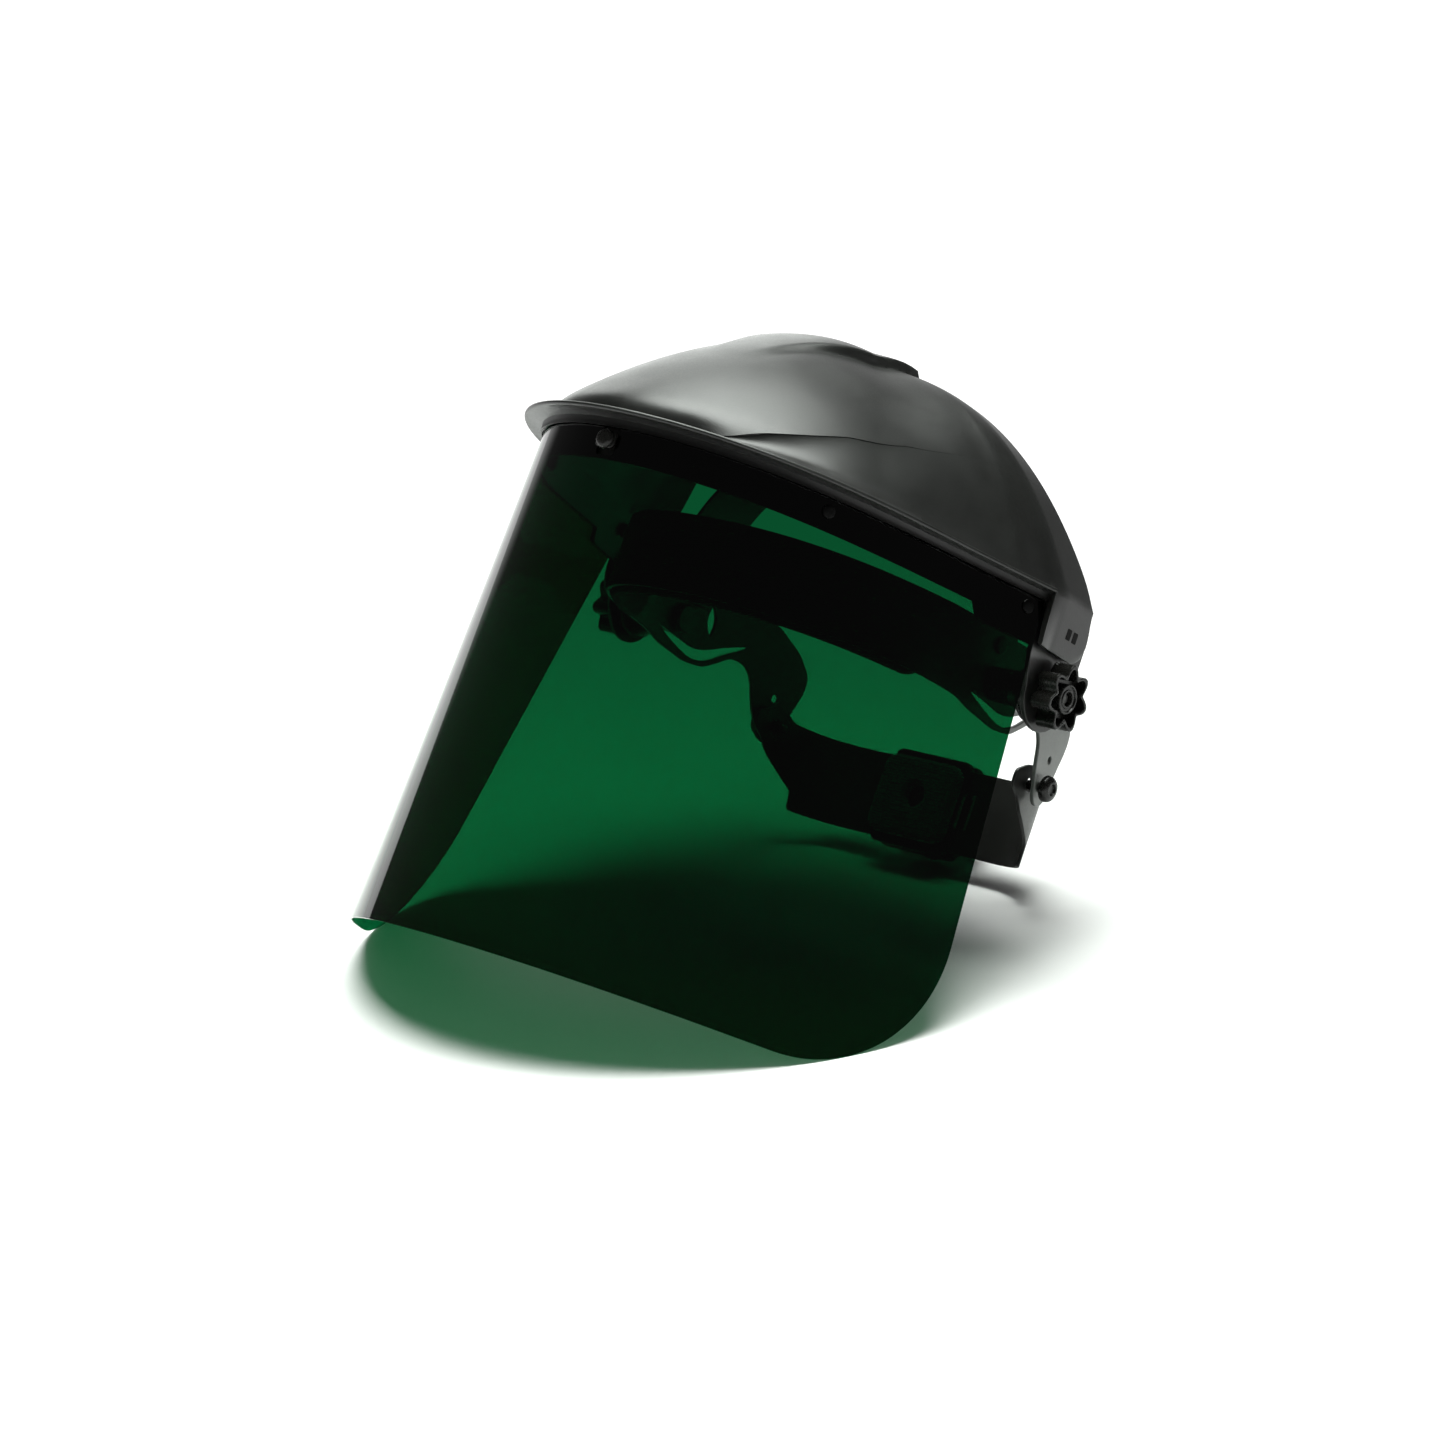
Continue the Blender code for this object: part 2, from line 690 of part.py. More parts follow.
def build_pivots():
    for side, word in ((1, "left"), (-1, "right")):
        origin = (0, PIVOT_Y, PIVOT_Z)
        rail_out = shell_offset(tail_u(PIVOT_Y), PIVOT_Z, RAIL_OUTER).x
        rail_in = rail_out - RAIL_THICK
        washer_x = rail_out + GAP
        knob_x = washer_x + WASHER_THICK + GAP
        face = knob_x + KNOB_THICK

        def face_x(x):
            return side * x

        star = star_loop(KNOB_RADIUS, 9.6, KNOB_LOBES)
        hub_hole = ring(PIVOT_Y, PIVOT_Z, 4.3, 16)
        verts, faces = slab(star, [hub_hole], plate_x(face_x(knob_x), face_x(face)))
        add_object(f"tension_knob_{word}", verts, faces, GLOSS_BLACK, (face_x(knob_x), PIVOT_Y, PIVOT_Z))

        insert = [(2.8, knob_x), (4.0, knob_x), (4.0, face - 1.5), (2.8, face - 1.5)]
        verts, faces = lathe(insert, origin, (side, 0, 0), 16)
        add_object(f"knob_insert_{word}", verts, faces, BRASS, (face_x(knob_x), PIVOT_Y, PIVOT_Z))

        washer = [(2.9, washer_x), (8.0, washer_x), (8.0, washer_x + WASHER_THICK), (2.9, washer_x + WASHER_THICK)]
        verts, faces = lathe(washer, origin, (side, 0, 0), 20)
        add_object(f"friction_washer_{word}", verts, faces, STEEL, (face_x(washer_x), PIVOT_Y, PIVOT_Z))

        end = rail_in - GAP
        start = BAND_POINTS[6][0] + BAND_THICK + GAP + 0.1
        barrel = [(2.9, start), (6.8, start), (7.2, start + 12.0), (BARREL_RADIUS, start + 20.0), (BARREL_RADIUS, end), (2.9, end)]
        verts, faces = lathe(barrel, origin, (side, 0, 0), 24)
        add_object(f"pivot_barrel_{word}", verts, faces, GLOSS_BLACK, (face_x(start), PIVOT_Y, PIVOT_Z))

        bolt = [(0.0, 76.6), (5.6, 76.6), (6.2, 77.4), (6.2, 78.6), (BOLT_RADIUS, 78.6), (BOLT_RADIUS, face - 2.0), (0.0, face - 2.0)]
        verts, faces = lathe(bolt, origin, (side, 0, 0), 20)
        add_object(f"pivot_bolt_{word}", verts, faces, STEEL, (face_x(76.6), PIVOT_Y, PIVOT_Z))


# ---------------------------------------------------------------- harness


def band_outline_half():
    """The left half of the harness band, flat: (arc length, z), from the brow's lower edge round to its top."""
    def at(y, z):
        return (band_u(y), z)

    lobe = [
        (band_u(PIN_Y) + 8.0 * math.cos(a), PIN_Z + 8.0 * math.sin(a))
        for a in np.linspace(math.radians(200), math.radians(355), 7)
    ]
    lower = [at(-20, BROW_BOTTOM), at(0, -48.0), at(10, -50.5), at(30, -52.5), at(42, -51.0), at(50, -46.0), at(55, -42.5),
             at(60, -41.6), at(66, -42.6), at(70.5, -47.0), at(74, -55.0)]
    upper = [at(96.5, -52.0), at(99.5, -42.0), at(99.0, -34.5), at(91, -27.0), at(76, -20.0), at(60, -16.5), at(40, -16.0),
             at(20, -16.5), at(0, -16.0), at(-14, BROW_TOP)]
    return lower + lobe + upper


def leaf(y0, z0, y1, z1, width, count=6):
    """A leaf-shaped opening between two tips, as a flat loop on the band."""
    a = np.array((band_u(y0), z0))
    b = np.array((band_u(y1), z1))
    d = (b - a) / np.linalg.norm(b - a)
    n = np.array((-d[1], d[0]))
    out = []
    for k in range(count):
        t = k / count
        out.append(tuple(a + (b - a) * t + n * width / 2 * math.sin(math.pi * t)))
    for k in range(count):
        t = 1 - k / count
        out.append(tuple(a + (b - a) * t - n * width / 2 * math.sin(math.pi * t)))
    return out



def crescent(centre, width, samples=3):
    """A curved opening that runs along a centre line of (y, z) points and narrows to a tip at both ends."""
    _, ys, zs = smooth_path(centre, samples)
    line = [np.array((band_u(y), z)) for y, z in zip(ys, zs)]
    count = len(line) - 1
    above = []
    below = []
    for k in range(1, count):
        d = line[k + 1] - line[k - 1]
        n = np.array((-d[1], d[0])) / np.linalg.norm(d)
        half = width / 2 * math.sin(math.pi * k / count) ** 0.7
        above.append(tuple(line[k] + n * half))
        below.append(tuple(line[k] - n * half))
    return [tuple(line[0])] + below + [tuple(line[-1])] + above[::-1]


def build_headband():
    half = band_outline_half()
    outline = [(-u, v) for u, v in reversed(half)] + half
    pin_u = band_u(PIN_Y)
    holes = []
    for loop in (
        ring(band_u(PIVOT_Y), PIVOT_Z, BOLT_RADIUS + 0.3, 14),
        ring(pin_u, PIN_Z, 3.1, 12),
        ring(band_u(85.5), -49.5, 1.7, 8),
        ring(band_u(STRAP_Y), STRAP_RIVET_Z, 2.1, 10),
        crescent(((7, -43.5), (20, -46.0), (33, -47.6), (42, -45.4), (50, -41.0), (63, -34.5)), 4.4),
        leaf(36, -25.0, 40, -38.0, 5.0, 5),
    ):
        holes.append(loop)
        holes.append([(-u, v) for u, v in reversed(loop)])

    def place(u, v, face):
        return band_point(u, v, BAND_THICK if face else 0.0)

    verts, faces = slab(outline, holes, place, 7.5, (-24.0, -36.0))
    add_object("headband", verts, faces, HARNESS_GREY, (0, PIVOT_Y, PIVOT_Z))


def build_sweatband():
    outline = rounded_loop(0.0, (BROW_TOP + BROW_BOTTOM) / 2, 2 * SWEAT_HALF, 37.0, 10.0, 4)

    def place(u, v, face):
        return band_point(u, v, -0.5 - (SWEAT_THICK if face else 0.0))

    verts, faces = slab(outline, [], place, 9.0)
    add_object("sweatband", verts, faces, FABRIC, (0, -80, -30))


def strap_point(side, level, length, v, face):
    """A strap over the head: length runs up from its foot, v across its width."""
    half = STRAP_HALF
    rise = STRAP_RISE + level
    foot = STRAP_BASE_Z - STRAP_FOOT_Z
    if length < foot:
        x, z, nx, nz = half, STRAP_FOOT_Z + length, 1.0, 0.0
    else:
        a = (length - foot) / ((half + rise) / 2)
        x, z = half * math.cos(a), STRAP_BASE_Z + rise * math.sin(a)
        nx, nz = rise * math.cos(a), half * math.sin(a)
        n = math.hypot(nx, nz)
        nx, nz = nx / n, nz / n
    thick = STRAP_THICK if face else 0.0
    return Vector((side * (x + nx * thick), STRAP_Y + v, z + nz * thick))


def build_top_straps():
    quarter = (STRAP_HALF + STRAP_RISE) / 2 * math.pi / 2
    foot = STRAP_BASE_Z - STRAP_FOOT_Z
    peg_at = foot + quarter
    for side, word, level in ((1, "left", 0.0), (-1, "right", 2.5)):
        end = peg_at + 22.0 + level
        top = foot + (STRAP_HALF + STRAP_RISE + level) / 2 * math.pi / 2
        w = STRAP_WIDTH / 2
        outline = [(0.0, -w), (end - 6.0, -w * 0.72), (end, -w * 0.3), (end, w * 0.3), (end - 6.0, w * 0.72), (0.0, w)]
        holes = [ring(STRAP_RIVET_Z - STRAP_FOOT_Z, 0.0, 2.1, 10)]
        holes += [ring(top + d, 0.0, 2.1, 8) for d in (-16.0, -8.0, 0.0, 8.0, 16.0)]

        def place(u, v, face, side=side, level=level):
            return strap_point(side, level, u, v, face)

        verts, faces = slab(outline, holes, place, 7.0)
        add_object(f"top_strap_{word}", verts, faces, HARNESS_GREY, (side * 77, STRAP_Y, STRAP_RIVET_Z))
        rivet = [
            (0.0, 74.8), (3.6, 75.1), (3.6, 76.3), (1.8, 76.3),
            (1.8, 82.1), (3.6, 82.1), (3.2, 83.2), (0.0, 83.4),
        ]
        verts, faces = lathe(rivet, (0, STRAP_Y, STRAP_RIVET_Z), (side, 0, 0), 14)
        add_object(f"strap_rivet_{word}", verts, faces, GLOSS_BLACK, (side * 78, STRAP_Y, STRAP_RIVET_Z))
    crest = STRAP_BASE_Z + STRAP_RISE
    peg = [
        (0.0, crest - 1.6), (4.0, crest - 1.4), (4.0, crest - 0.3), (1.8, crest - 0.3),
        (1.8, crest + 4.5), (3.0, crest + 4.5), (2.4, crest + 5.6), (0.0, crest + 5.8),
    ]
    verts, faces = lathe(peg, (0, STRAP_Y, 0), (0, 0, 1), 14)
    add_object("top_strap_peg", verts, faces, GLOSS_BLACK, (0, STRAP_Y, crest))


# ---------------------------------------------------------------- nape straps and ratchet


def rack_slot(upper):
    """A slot in a nape strap with rack teeth along its upper or lower side, as a loop of (x, z)."""
    pitch = 2 * math.pi * GEAR_PITCH_RADIUS / GEAR_TEETH
    sign = 1.0 if upper else -1.0
    root = RATCHET_Z + sign * (GEAR_PITCH_RADIUS + 1.1)
    tip = RATCHET_Z + sign * (GEAR_PITCH_RADIUS - 0.55)
    plain = RATCHET_Z - sign * (GEAR_PITCH_RADIUS + 2.0)
    x0, x1 = -9.0, 12.0 + STRAP_TRAVEL
    # Gear teeth point along +-Z at the pinion's middle, so the rack has a gap there.
    loop = [(x0, plain), (x1, plain), (x1, root)]
    first = math.ceil((x0 + 1.2 - pitch / 2) / pitch)
    last = math.floor((x1 - 1.2 - pitch / 2) / pitch)
    for k in range(last, first - 1, -1):
        c = (k + 0.5) * pitch
        loop += [(c + 1.05, root), (c + 0.45, tip), (c - 0.45, tip), (c - 1.05, root)]
    loop.append((x0, root))
    return loop


def nape_point(side, u, v, face, level):
    x, y = path_offset(NAPE_PATH, max(0.0, u), level + (NAPE_THICK if face else 0.0))
    return Vector((side * x, y, v))


def nape_u(y):
    """Length along the nape curve at which it reaches y on its way to the pin."""
    return float(np.interp(-y, -NAPE_PATH[2][20:], NAPE_PATH[0][20:]))


def build_nape_straps():
    end = float(NAPE_PATH[0][-1])
    pin = nape_u(PIN_Y)
    outline = [
        (0.0, NAPE_BOTTOM), (nape_u(106.0), NAPE_BOTTOM),
        (nape_u(105.0), -83.6), (pin + 1.0, -72.5), (pin + 6.0, -67.8), (end - 0.6, -64.5), (end, -61.0),
        (end - 0.6, -57.5), (pin + 5.0, -53.6), (pin, -52.6), (pin - 5.0, -53.4), (pin - 10.0, NAPE_TOP),
        (0.0, NAPE_TOP),
    ]
    for side, word, level in ((1, "left", 0.0), (-1, "right", -1.9)):
        holes = [[(x - NAPE_START, z) for x, z in rack_slot(upper=side > 0)], ring(pin, PIN_Z, 3.0, 12)]

        def place(u, v, face, side=side, level=level):
            return nape_point(side, u, v, face, level)

        verts, faces = slab(outline, holes, place, 6.0, (RATCHET_Z,))
        add_object(f"nape_strap_{word}", verts, faces, HARNESS_BLACK, (side * 66, PIN_Y, PIN_Z))


def build_nape_pins():
    for side, word in ((1, "left"), (-1, "right")):
        pin = [
            (0.0, 62.6), (1.9, 62.6), (2.05, 63.4), (2.05, 75.2), (5.6, 75.2), (5.0, 78.0), (3.0, 78.8), (0.0, 78.8),
        ]
        verts, faces = lathe(pin, (0, PIN_Y, PIN_Z), (side, 0, 0), 16)
        add_object(f"nape_pin_{word}", verts, faces, GLOSS_BLACK, (side * 70, PIN_Y, PIN_Z))


def gear_loop(cx, cz):
    """A pinion with straight-flanked teeth, one of them along +Z."""
    out = []
    root = GEAR_PITCH_RADIUS - 1.0
    tip = GEAR_PITCH_RADIUS + 0.75
    for k in range(GEAR_TEETH):
        c = math.pi / 2 + 2 * math.pi * k / GEAR_TEETH
        for r, w in ((root, -0.17), (tip, -0.07), (tip, 0.07), (root, 0.17)):
            out.append((cx + r * math.cos(c + w), cz + r * math.sin(c + w)))
    return out


def build_ratchet():
    z = RATCHET_Z
    mid = (NAPE_TOP + NAPE_BOTTOM) / 2
    width = 2 * HOUSING_HALF
    height = NAPE_TOP - NAPE_BOTTOM + 5.4
    strap_in = NAPE_POINTS[0][1] - NAPE_THICK
    strap_out = NAPE_POINTS[0][1] + 1.9
    plate = rounded_loop(0.0, mid, width, height, 3.5, 4)
    # Inner cover against the head side.
    verts, faces = slab(plate, [ring(0.0, z, 2.0, 12)], plate_y(strap_in - 3.9, strap_in - 0.9))
    add_object("ratchet_cover", verts, faces, GLOSS_BLACK, (0, strap_in, z))
    # Housing: a plate outside the straps, with one wall above them and one below.
    bm = bmesh.new()
    mesh_into(bm, *slab(plate, [ring(0.0, z, 4.2, 16)], plate_y(strap_out + 0.5, strap_out + 4.0)))
    for edge in (NAPE_TOP + 1.5, NAPE_BOTTOM - 1.5):
        wall = rounded_loop(0.0, edge, width - 8.0, 2.1, 0.6, 2)
        mesh_into(bm, *slab(wall, [], plate_y(strap_in - 0.6, strap_out + 1.5)))
    joined = union_mesh("ratchet_housing", bm)
    finish_union("ratchet_housing", joined, GLOSS_BLACK, (0, strap_out, z))
    # Pinion: teeth in the strap slots, with a shaft through the housing.
    bm = bmesh.new()
    mesh_into(bm, *slab(gear_loop(0.0, z), [], plate_y(strap_in - 0.5, strap_out + 0.2)))
    shaft = [(0.0, strap_in + 1.0), (3.7, strap_in + 1.0), (3.7, strap_out + 6.1), (0.0, strap_out + 6.1)]
    mesh_into(bm, *lathe(shaft, (0, 0, z), (0, 1, 0), 16))
    joined = union_mesh("ratchet_pinion", bm)
    finish_union("ratchet_pinion", joined, NYLON, (0, strap_in, z))
    # Detent spring: a wavy steel ring between the housing and the knob.
    loop = []
    for k in range(48):
        a = 2 * math.pi * k / 48
        r = 12.0 + 1.2 * math.cos(8 * a)
        loop.append((r * math.cos(a), z + r * math.sin(a)))
    verts, faces = slab(loop, [ring(0.0, z, 9.0, 24)], plate_y(strap_out + 4.3, strap_out + 5.6))
    add_object("detent_spring", verts, faces, STEEL, (0, strap_out + 5.0, z))
    # Knob with finger flutes round its rim.
    flutes = 18
    rim = []
    for k in range(flutes * 4):
        a = 2 * math.pi * k / (flutes * 4)
        r = RATCHET_KNOB_RADIUS - (0.9 if k % 4 == 0 else 0.0)
        rim.append((r * math.cos(a), z + r * math.sin(a)))
    verts, faces = slab(rim, [], plate_y(strap_out + 6.4, strap_out + 15.4))
    add_object("ratchet_knob", verts, faces, GLOSS_BLACK, (0, strap_out + 6.4, z))
    # Screw that holds the pinion from the head side.
    screw = [
        (0.0, strap_in - 6.3), (3.2, strap_in - 6.1), (3.2, strap_in - 4.2),
        (1.6, strap_in - 4.2), (1.6, strap_in - 0.8), (0.0, strap_in - 0.8),
    ]
    verts, faces = lathe(screw, (0, 0, z), (0, 1, 0), 14)
    add_object("ratchet_screw", verts, faces, STEEL, (0, strap_in - 4.0, z))
    # Pad towards the head.
    pad = rounded_loop(0.0, mid, width - 1.0, height - 7.0, 6.0, 4)
    verts, faces = slab(pad, [ring(0.0, z, 5.0, 12)], plate_y(strap_in - 10.5, strap_in - 4.3))
    add_object("nape_pad", verts, faces, FABRIC, (0, strap_in - 7.0, z))


def build_all():
    build_crown()
    build_rail()
    build_window()
    build_latch()
    build_studs()
    build_pivots()
    build_headband()
    build_sweatband()
    build_top_straps()
    build_nape_straps()
    build_nape_pins()
    build_ratchet()


def rest_on_floor():
    """Leans the shield back and sets it down, centred over the world's origin."""
    ROOT.rotation_euler = (-math.radians(PITCH_DEG), 0.0, 0.0)
    bpy.context.view_layer.update()
    points = [o.matrix_world @ v.co for o in bpy.data.objects if o.type == "MESH" for v in o.data.vertices]
    ys = [p.y for p in points]
    ROOT.location = (0.0, -(min(ys) + max(ys)) / 2, -min(p.z for p in points))
    bpy.context.view_layer.update()


clear_scene()
ROOT = bpy.data.objects.new("face_shield", None)
bpy.context.scene.collection.objects.link(ROOT)
SATIN_BLACK = principled("crown_plastic", (0.045, 0.047, 0.045), 0.42)
GLOSS_BLACK = principled("black_plastic", (0.018, 0.018, 0.018), 0.3)
HARNESS_GREY = principled("harness_plastic", (0.05, 0.05, 0.05), 0.45)
HARNESS_BLACK = principled("strap_plastic", (0.02, 0.02, 0.02), 0.42)
GREEN_WINDOW = principled("green_polycarbonate", (0.0, 0.12, 0.05), 0.05, alpha=0.6, transmission=0.8)
STEEL = principled("zinc_steel", (0.6, 0.6, 0.6), 0.35, metallic=1.0)
BRASS = principled("brass", (0.75, 0.55, 0.25), 0.35, metallic=1.0)
NYLON = principled("nylon", (0.7, 0.7, 0.66), 0.5)
FABRIC = principled("black_foam", (0.02, 0.02, 0.02), 0.9)
build_all()
rest_on_floor()
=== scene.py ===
"""Looks for the face shield: fine pieces in place of the CAD solids, procedural materials, studio and camera.

Pieces are modelled in the worn frame, in millimetres: X to the wearer's left, -Y forward, Z up, with Z = 0 on the
underside of the crown's rim. to_row() carries them into the row frame, where the shield leans back on the floor.
"""

import json
import math

import bmesh
import bpy
import numpy as np
from mathutils import Matrix, Vector
from mathutils.geometry import delaunay_2d_cdt


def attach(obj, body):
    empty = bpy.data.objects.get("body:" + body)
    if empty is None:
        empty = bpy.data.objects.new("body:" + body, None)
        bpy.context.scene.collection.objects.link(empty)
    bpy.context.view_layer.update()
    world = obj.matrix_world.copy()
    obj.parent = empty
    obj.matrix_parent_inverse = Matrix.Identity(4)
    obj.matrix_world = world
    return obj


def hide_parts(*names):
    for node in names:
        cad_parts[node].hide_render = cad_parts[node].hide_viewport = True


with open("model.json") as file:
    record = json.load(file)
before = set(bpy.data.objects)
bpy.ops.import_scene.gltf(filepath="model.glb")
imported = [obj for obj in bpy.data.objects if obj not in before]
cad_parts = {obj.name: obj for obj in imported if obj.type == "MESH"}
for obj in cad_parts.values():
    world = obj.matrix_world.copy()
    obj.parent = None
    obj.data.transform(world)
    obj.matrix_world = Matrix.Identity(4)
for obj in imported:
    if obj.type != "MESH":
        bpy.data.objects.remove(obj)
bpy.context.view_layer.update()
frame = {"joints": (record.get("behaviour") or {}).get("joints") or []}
joints = {j["name"]: j for j in frame["joints"]}

MM = 0.001

# ---------------------------------------------------------------- sizes shared with the CAD model

SHEET_HALF = 197.0
WINDOW_TOP = -3.0
WINDOW_BOTTOM = -206.2
CURVE_TOP_Z = 21.0
CURVE_BOTTOM_Z = -208.0
TOP_TURN_DEG, TOP_BIAS = 70.3, 1.36
BOTTOM_TURN_DEG, BOTTOM_BIAS = 63.2, 0.91
FRONT_Y = -150.0
BOTTOM_SLIP = 1.1
CORNER_RADIUS = 60.0
TAIL_LENGTH = 31.5
TAIL_BEND = 11.0
LEAN_FADE = 9.0
DOME_HEIGHT = 71.0
DOME_POWER = 1.93
DOME_BACK_FULLNESS = 1.05
DOME_CENTRE_Y = -25.0
DOME_BASE_OFFSET = 6.0
DOME_THICK = 2.2
SPINE_SHARE = 0.133
LIP_FRONT, LIP_SIDE = 11.0, 7.0
EAR_BOTTOM = -22.0
EAR_OUTER, EAR_INNER = 2.6, 0.5
RAIL_OUTER, RAIL_THICK = -0.9, 2.0
RAIL_TOP, RAIL_BOTTOM = -2.8, -17.0
PIVOT_Y, PIVOT_Z = 19.0, -36.5
BOLT_RADIUS = 2.5
KNOB_RADIUS, KNOB_LOBES, KNOB_THICK = 13.5, 7, 9.0
BARREL_RADIUS = 12.0
GAP = 0.3
STUD_Z = -10.0
SIDE_STUD_U, REAR_STUD_U = 91.0, 190.0
BAND_POINTS = (
    (0.0, -80.0), (21.0, -78.0), (41.0, -70.0), (58.0, -55.0), (70.0, -34.0), (77.5, -11.0),
    (80.0, 8.0), (80.0, 31.0), (78.6, 49.0), (75.8, 67.0), (72.0, 84.0), (68.0, 101.0),
)
BAND_THICK = 1.8
BROW_TOP, BROW_BOTTOM = -15.5, -47.0
PIN_Y, PIN_Z = 87.0, -61.0
STRAP_WIDTH, STRAP_HALF, STRAP_Y, STRAP_THICK = 33.0, 76.6, 15.5, 1.6
STRAP_RISE, STRAP_BASE_Z, STRAP_FOOT_Z, STRAP_RIVET_Z = 62.0, -14.0, -29.0, -21.5
NAPE_START = -15.0
NAPE_POINTS = (
    (NAPE_START, 116.5), (0.0, 116.5), (20.0, 116.5), (38.0, 116.6), (49.0, 115.6),
    (57.5, 111.6), (62.8, 104.6), (65.4, 96.0), (67.0, 88.0), (67.7, 81.0), (68.2, 74.0),
)
NAPE_THICK = 1.5
NAPE_TOP, NAPE_BOTTOM = -56.0, -92.0
HOUSING_HALF = 20.0
STRAP_TRAVEL = 12.0
RATCHET_Z = -73.0
RATCHET_KNOB_RADIUS = 21.2
GEAR_TEETH, GEAR_PITCH_RADIUS = 10, 6.25

# ---------------------------------------------------------------- the worn frame in the row frame

dial_axis = joints["dial_turn"]["axis"]
LEAN = math.atan2(dial_axis[2], -dial_axis[1])
TURN = Matrix.Rotation(-LEAN, 3, "X")
ORIGIN = Vector(joints["crown_tilt"]["pos_m"]) - TURN @ (Vector((0.0, PIVOT_Y, PIVOT_Z)) * MM)


def to_row(p):
    return ORIGIN + TURN @ (Vector(p) * MM)


# ---------------------------------------------------------------- curves and surfaces


def turned_curve(turn_deg, bias, samples=801):
    s = np.linspace(0.0, 1.0, samples)
    heading = math.radians(turn_deg) * (s + bias / math.pi * np.sin(math.pi * s))
    step = SHEET_HALF / (samples - 1)
    x = np.concatenate(([0.0], np.cumsum((np.cos(heading[1:]) + np.cos(heading[:-1])) / 2 * step)))
    y = np.concatenate(([0.0], np.cumsum((np.sin(heading[1:]) + np.sin(heading[:-1])) / 2 * step)))
    return s * SHEET_HALF, x, y


TOP_CURVE = turned_curve(TOP_TURN_DEG, TOP_BIAS)
BOTTOM_CURVE = turned_curve(BOTTOM_TURN_DEG, BOTTOM_BIAS)


def on_curve(curve, u):
    side = 1.0 if u >= 0 else -1.0
    length, x, y = curve
    return side * float(np.interp(abs(u), length, x)), float(np.interp(abs(u), length, y))


def sheet_point(u, z):
    """A point of the window's middle surface: u along the arc from the front, z up."""
    t = (CURVE_TOP_Z - z) / (CURVE_TOP_Z - CURVE_BOTTOM_Z)
    xt, yt = on_curve(TOP_CURVE, u)
    xb, yb = on_curve(BOTTOM_CURVE, u)
    return Vector((xt + (xb - xt) * t, FRONT_Y + yt + (yb + BOTTOM_SLIP - yt) * t, z))


def tail_point(u, z):
    """Behind the sheet the surface turns straight back and upright."""
    side = 1.0 if u >= 0 else -1.0
    end = sheet_point(SHEET_HALF, 0.0)
    before = sheet_point(SHEET_HALF - 1.0, 0.0)
    start_heading = math.atan2(end.y - before.y, end.x - before.x)
    x, y = end.x, end.y
    run = abs(u) - SHEET_HALF
    steps = 24
    for i in range(steps):
        here = run * (i + 0.5) / steps
        share = min(1.0, here / TAIL_BEND)
        heading = start_heading + (math.pi / 2 - start_heading) * share
        x += math.cos(heading) * run / steps
        y += math.sin(heading) * run / steps
    fade = min(1.0, run / LEAN_FADE)
    fade = fade * fade * (3 - 2 * fade)
    lean = sheet_point(SHEET_HALF, z) - sheet_point(SHEET_HALF, 0.0)
    return Vector((side * (x + lean.x * (1.0 - fade)), y + lean.y * (1.0 - fade), z))


def shell_point(u, z):
    return sheet_point(u, z) if abs(u) <= SHEET_HALF else tail_point(u, z)


def shell_offset(u, z, offset):
    """A point at a level distance outside the shell surface."""
    low, high = u - 0.5, u + 0.5
    if abs(u) <= SHEET_HALF:
        low, high = max(low, -SHEET_HALF), min(high, SHEET_HALF)
    du = shell_point(high, z) - shell_point(low, z)
    out = Vector((du.y, -du.x, 0.0)).normalized()
    return shell_point(u, z) + out * offset


def shell_frame(u, z):
    """A point on the sheet's middle surface and its outward normal."""
    across = shell_point(u + 1.0, z) - shell_point(u - 1.0, z)
    down = shell_point(u, z - 1.0) - shell_point(u, z + 1.0)
    return shell_point(u, z), down.cross(across).normalized()


def smooth_path(points, samples=16):
    """A Catmull-Rom curve through plan points as arrays (length, x, y)."""
    pts = [np.array(p) for p in points]
    pts = [2 * pts[0] - pts[1]] + pts + [2 * pts[-1] - pts[-2]]
    out = []
    for i in range(1, len(pts) - 2):
        p0, p1, p2, p3 = pts[i - 1:i + 3]
        for k in range(samples):
            t = k / samples
            out.append(0.5 * (2 * p1 + (p2 - p0) * t + (2 * p0 - 5 * p1 + 4 * p2 - p3) * t ** 2
                              + (3 * p1 - p0 - 3 * p2 + p3) * t ** 3))
    out.append(pts[-2])
    out = np.array(out)
    length = np.concatenate(([0.0], np.cumsum(np.linalg.norm(np.diff(out, axis=0), axis=1))))
    return length, out[:, 0], out[:, 1]


BAND_PATH = smooth_path(((-BAND_POINTS[1][0], BAND_POINTS[1][1]),) + BAND_POINTS)
BAND_ZERO = float(np.interp(0.0, BAND_PATH[1], BAND_PATH[0]))
NAPE_PATH = smooth_path(NAPE_POINTS)


def path_offset(path, u, offset):
    length, x, y = path

    def at(v):
        return np.array((np.interp(v, length, x), np.interp(v, length, y)))

    low = max(u - 0.5, 0.0)
    high = min(u + 0.5, length[-1])
    d = at(high) - at(low)
    d = d / np.linalg.norm(d)
    return at(u) + np.array((d[1], -d[0])) * offset


def band_point(u, z, offset):
    side = 1.0 if u >= 0 else -1.0
    x, y = path_offset(BAND_PATH, abs(u) + BAND_ZERO, offset)
    return Vector((side * x, y, z))


def band_u(y):
    return float(np.interp(y, BAND_PATH[2][40:], BAND_PATH[0][40:])) - BAND_ZERO


def nape_u(y):
    return float(np.interp(-y, -NAPE_PATH[2][20:], NAPE_PATH[0][20:]))


def tail_u(y):
    low, high = SHEET_HALF, SHEET_HALF + 60.0
    for _ in range(30):
        mid = (low + high) / 2
        if tail_point(mid, 0.0).y < y:
            low = mid
        else:
            high = mid
    return low


PIVOT_U = tail_u(PIVOT_Y)


def ease(x):
    x = min(1.0, max(0.0, x))
    return x * x * (3 - 2 * x)


# ---------------------------------------------------------------- mesh builders


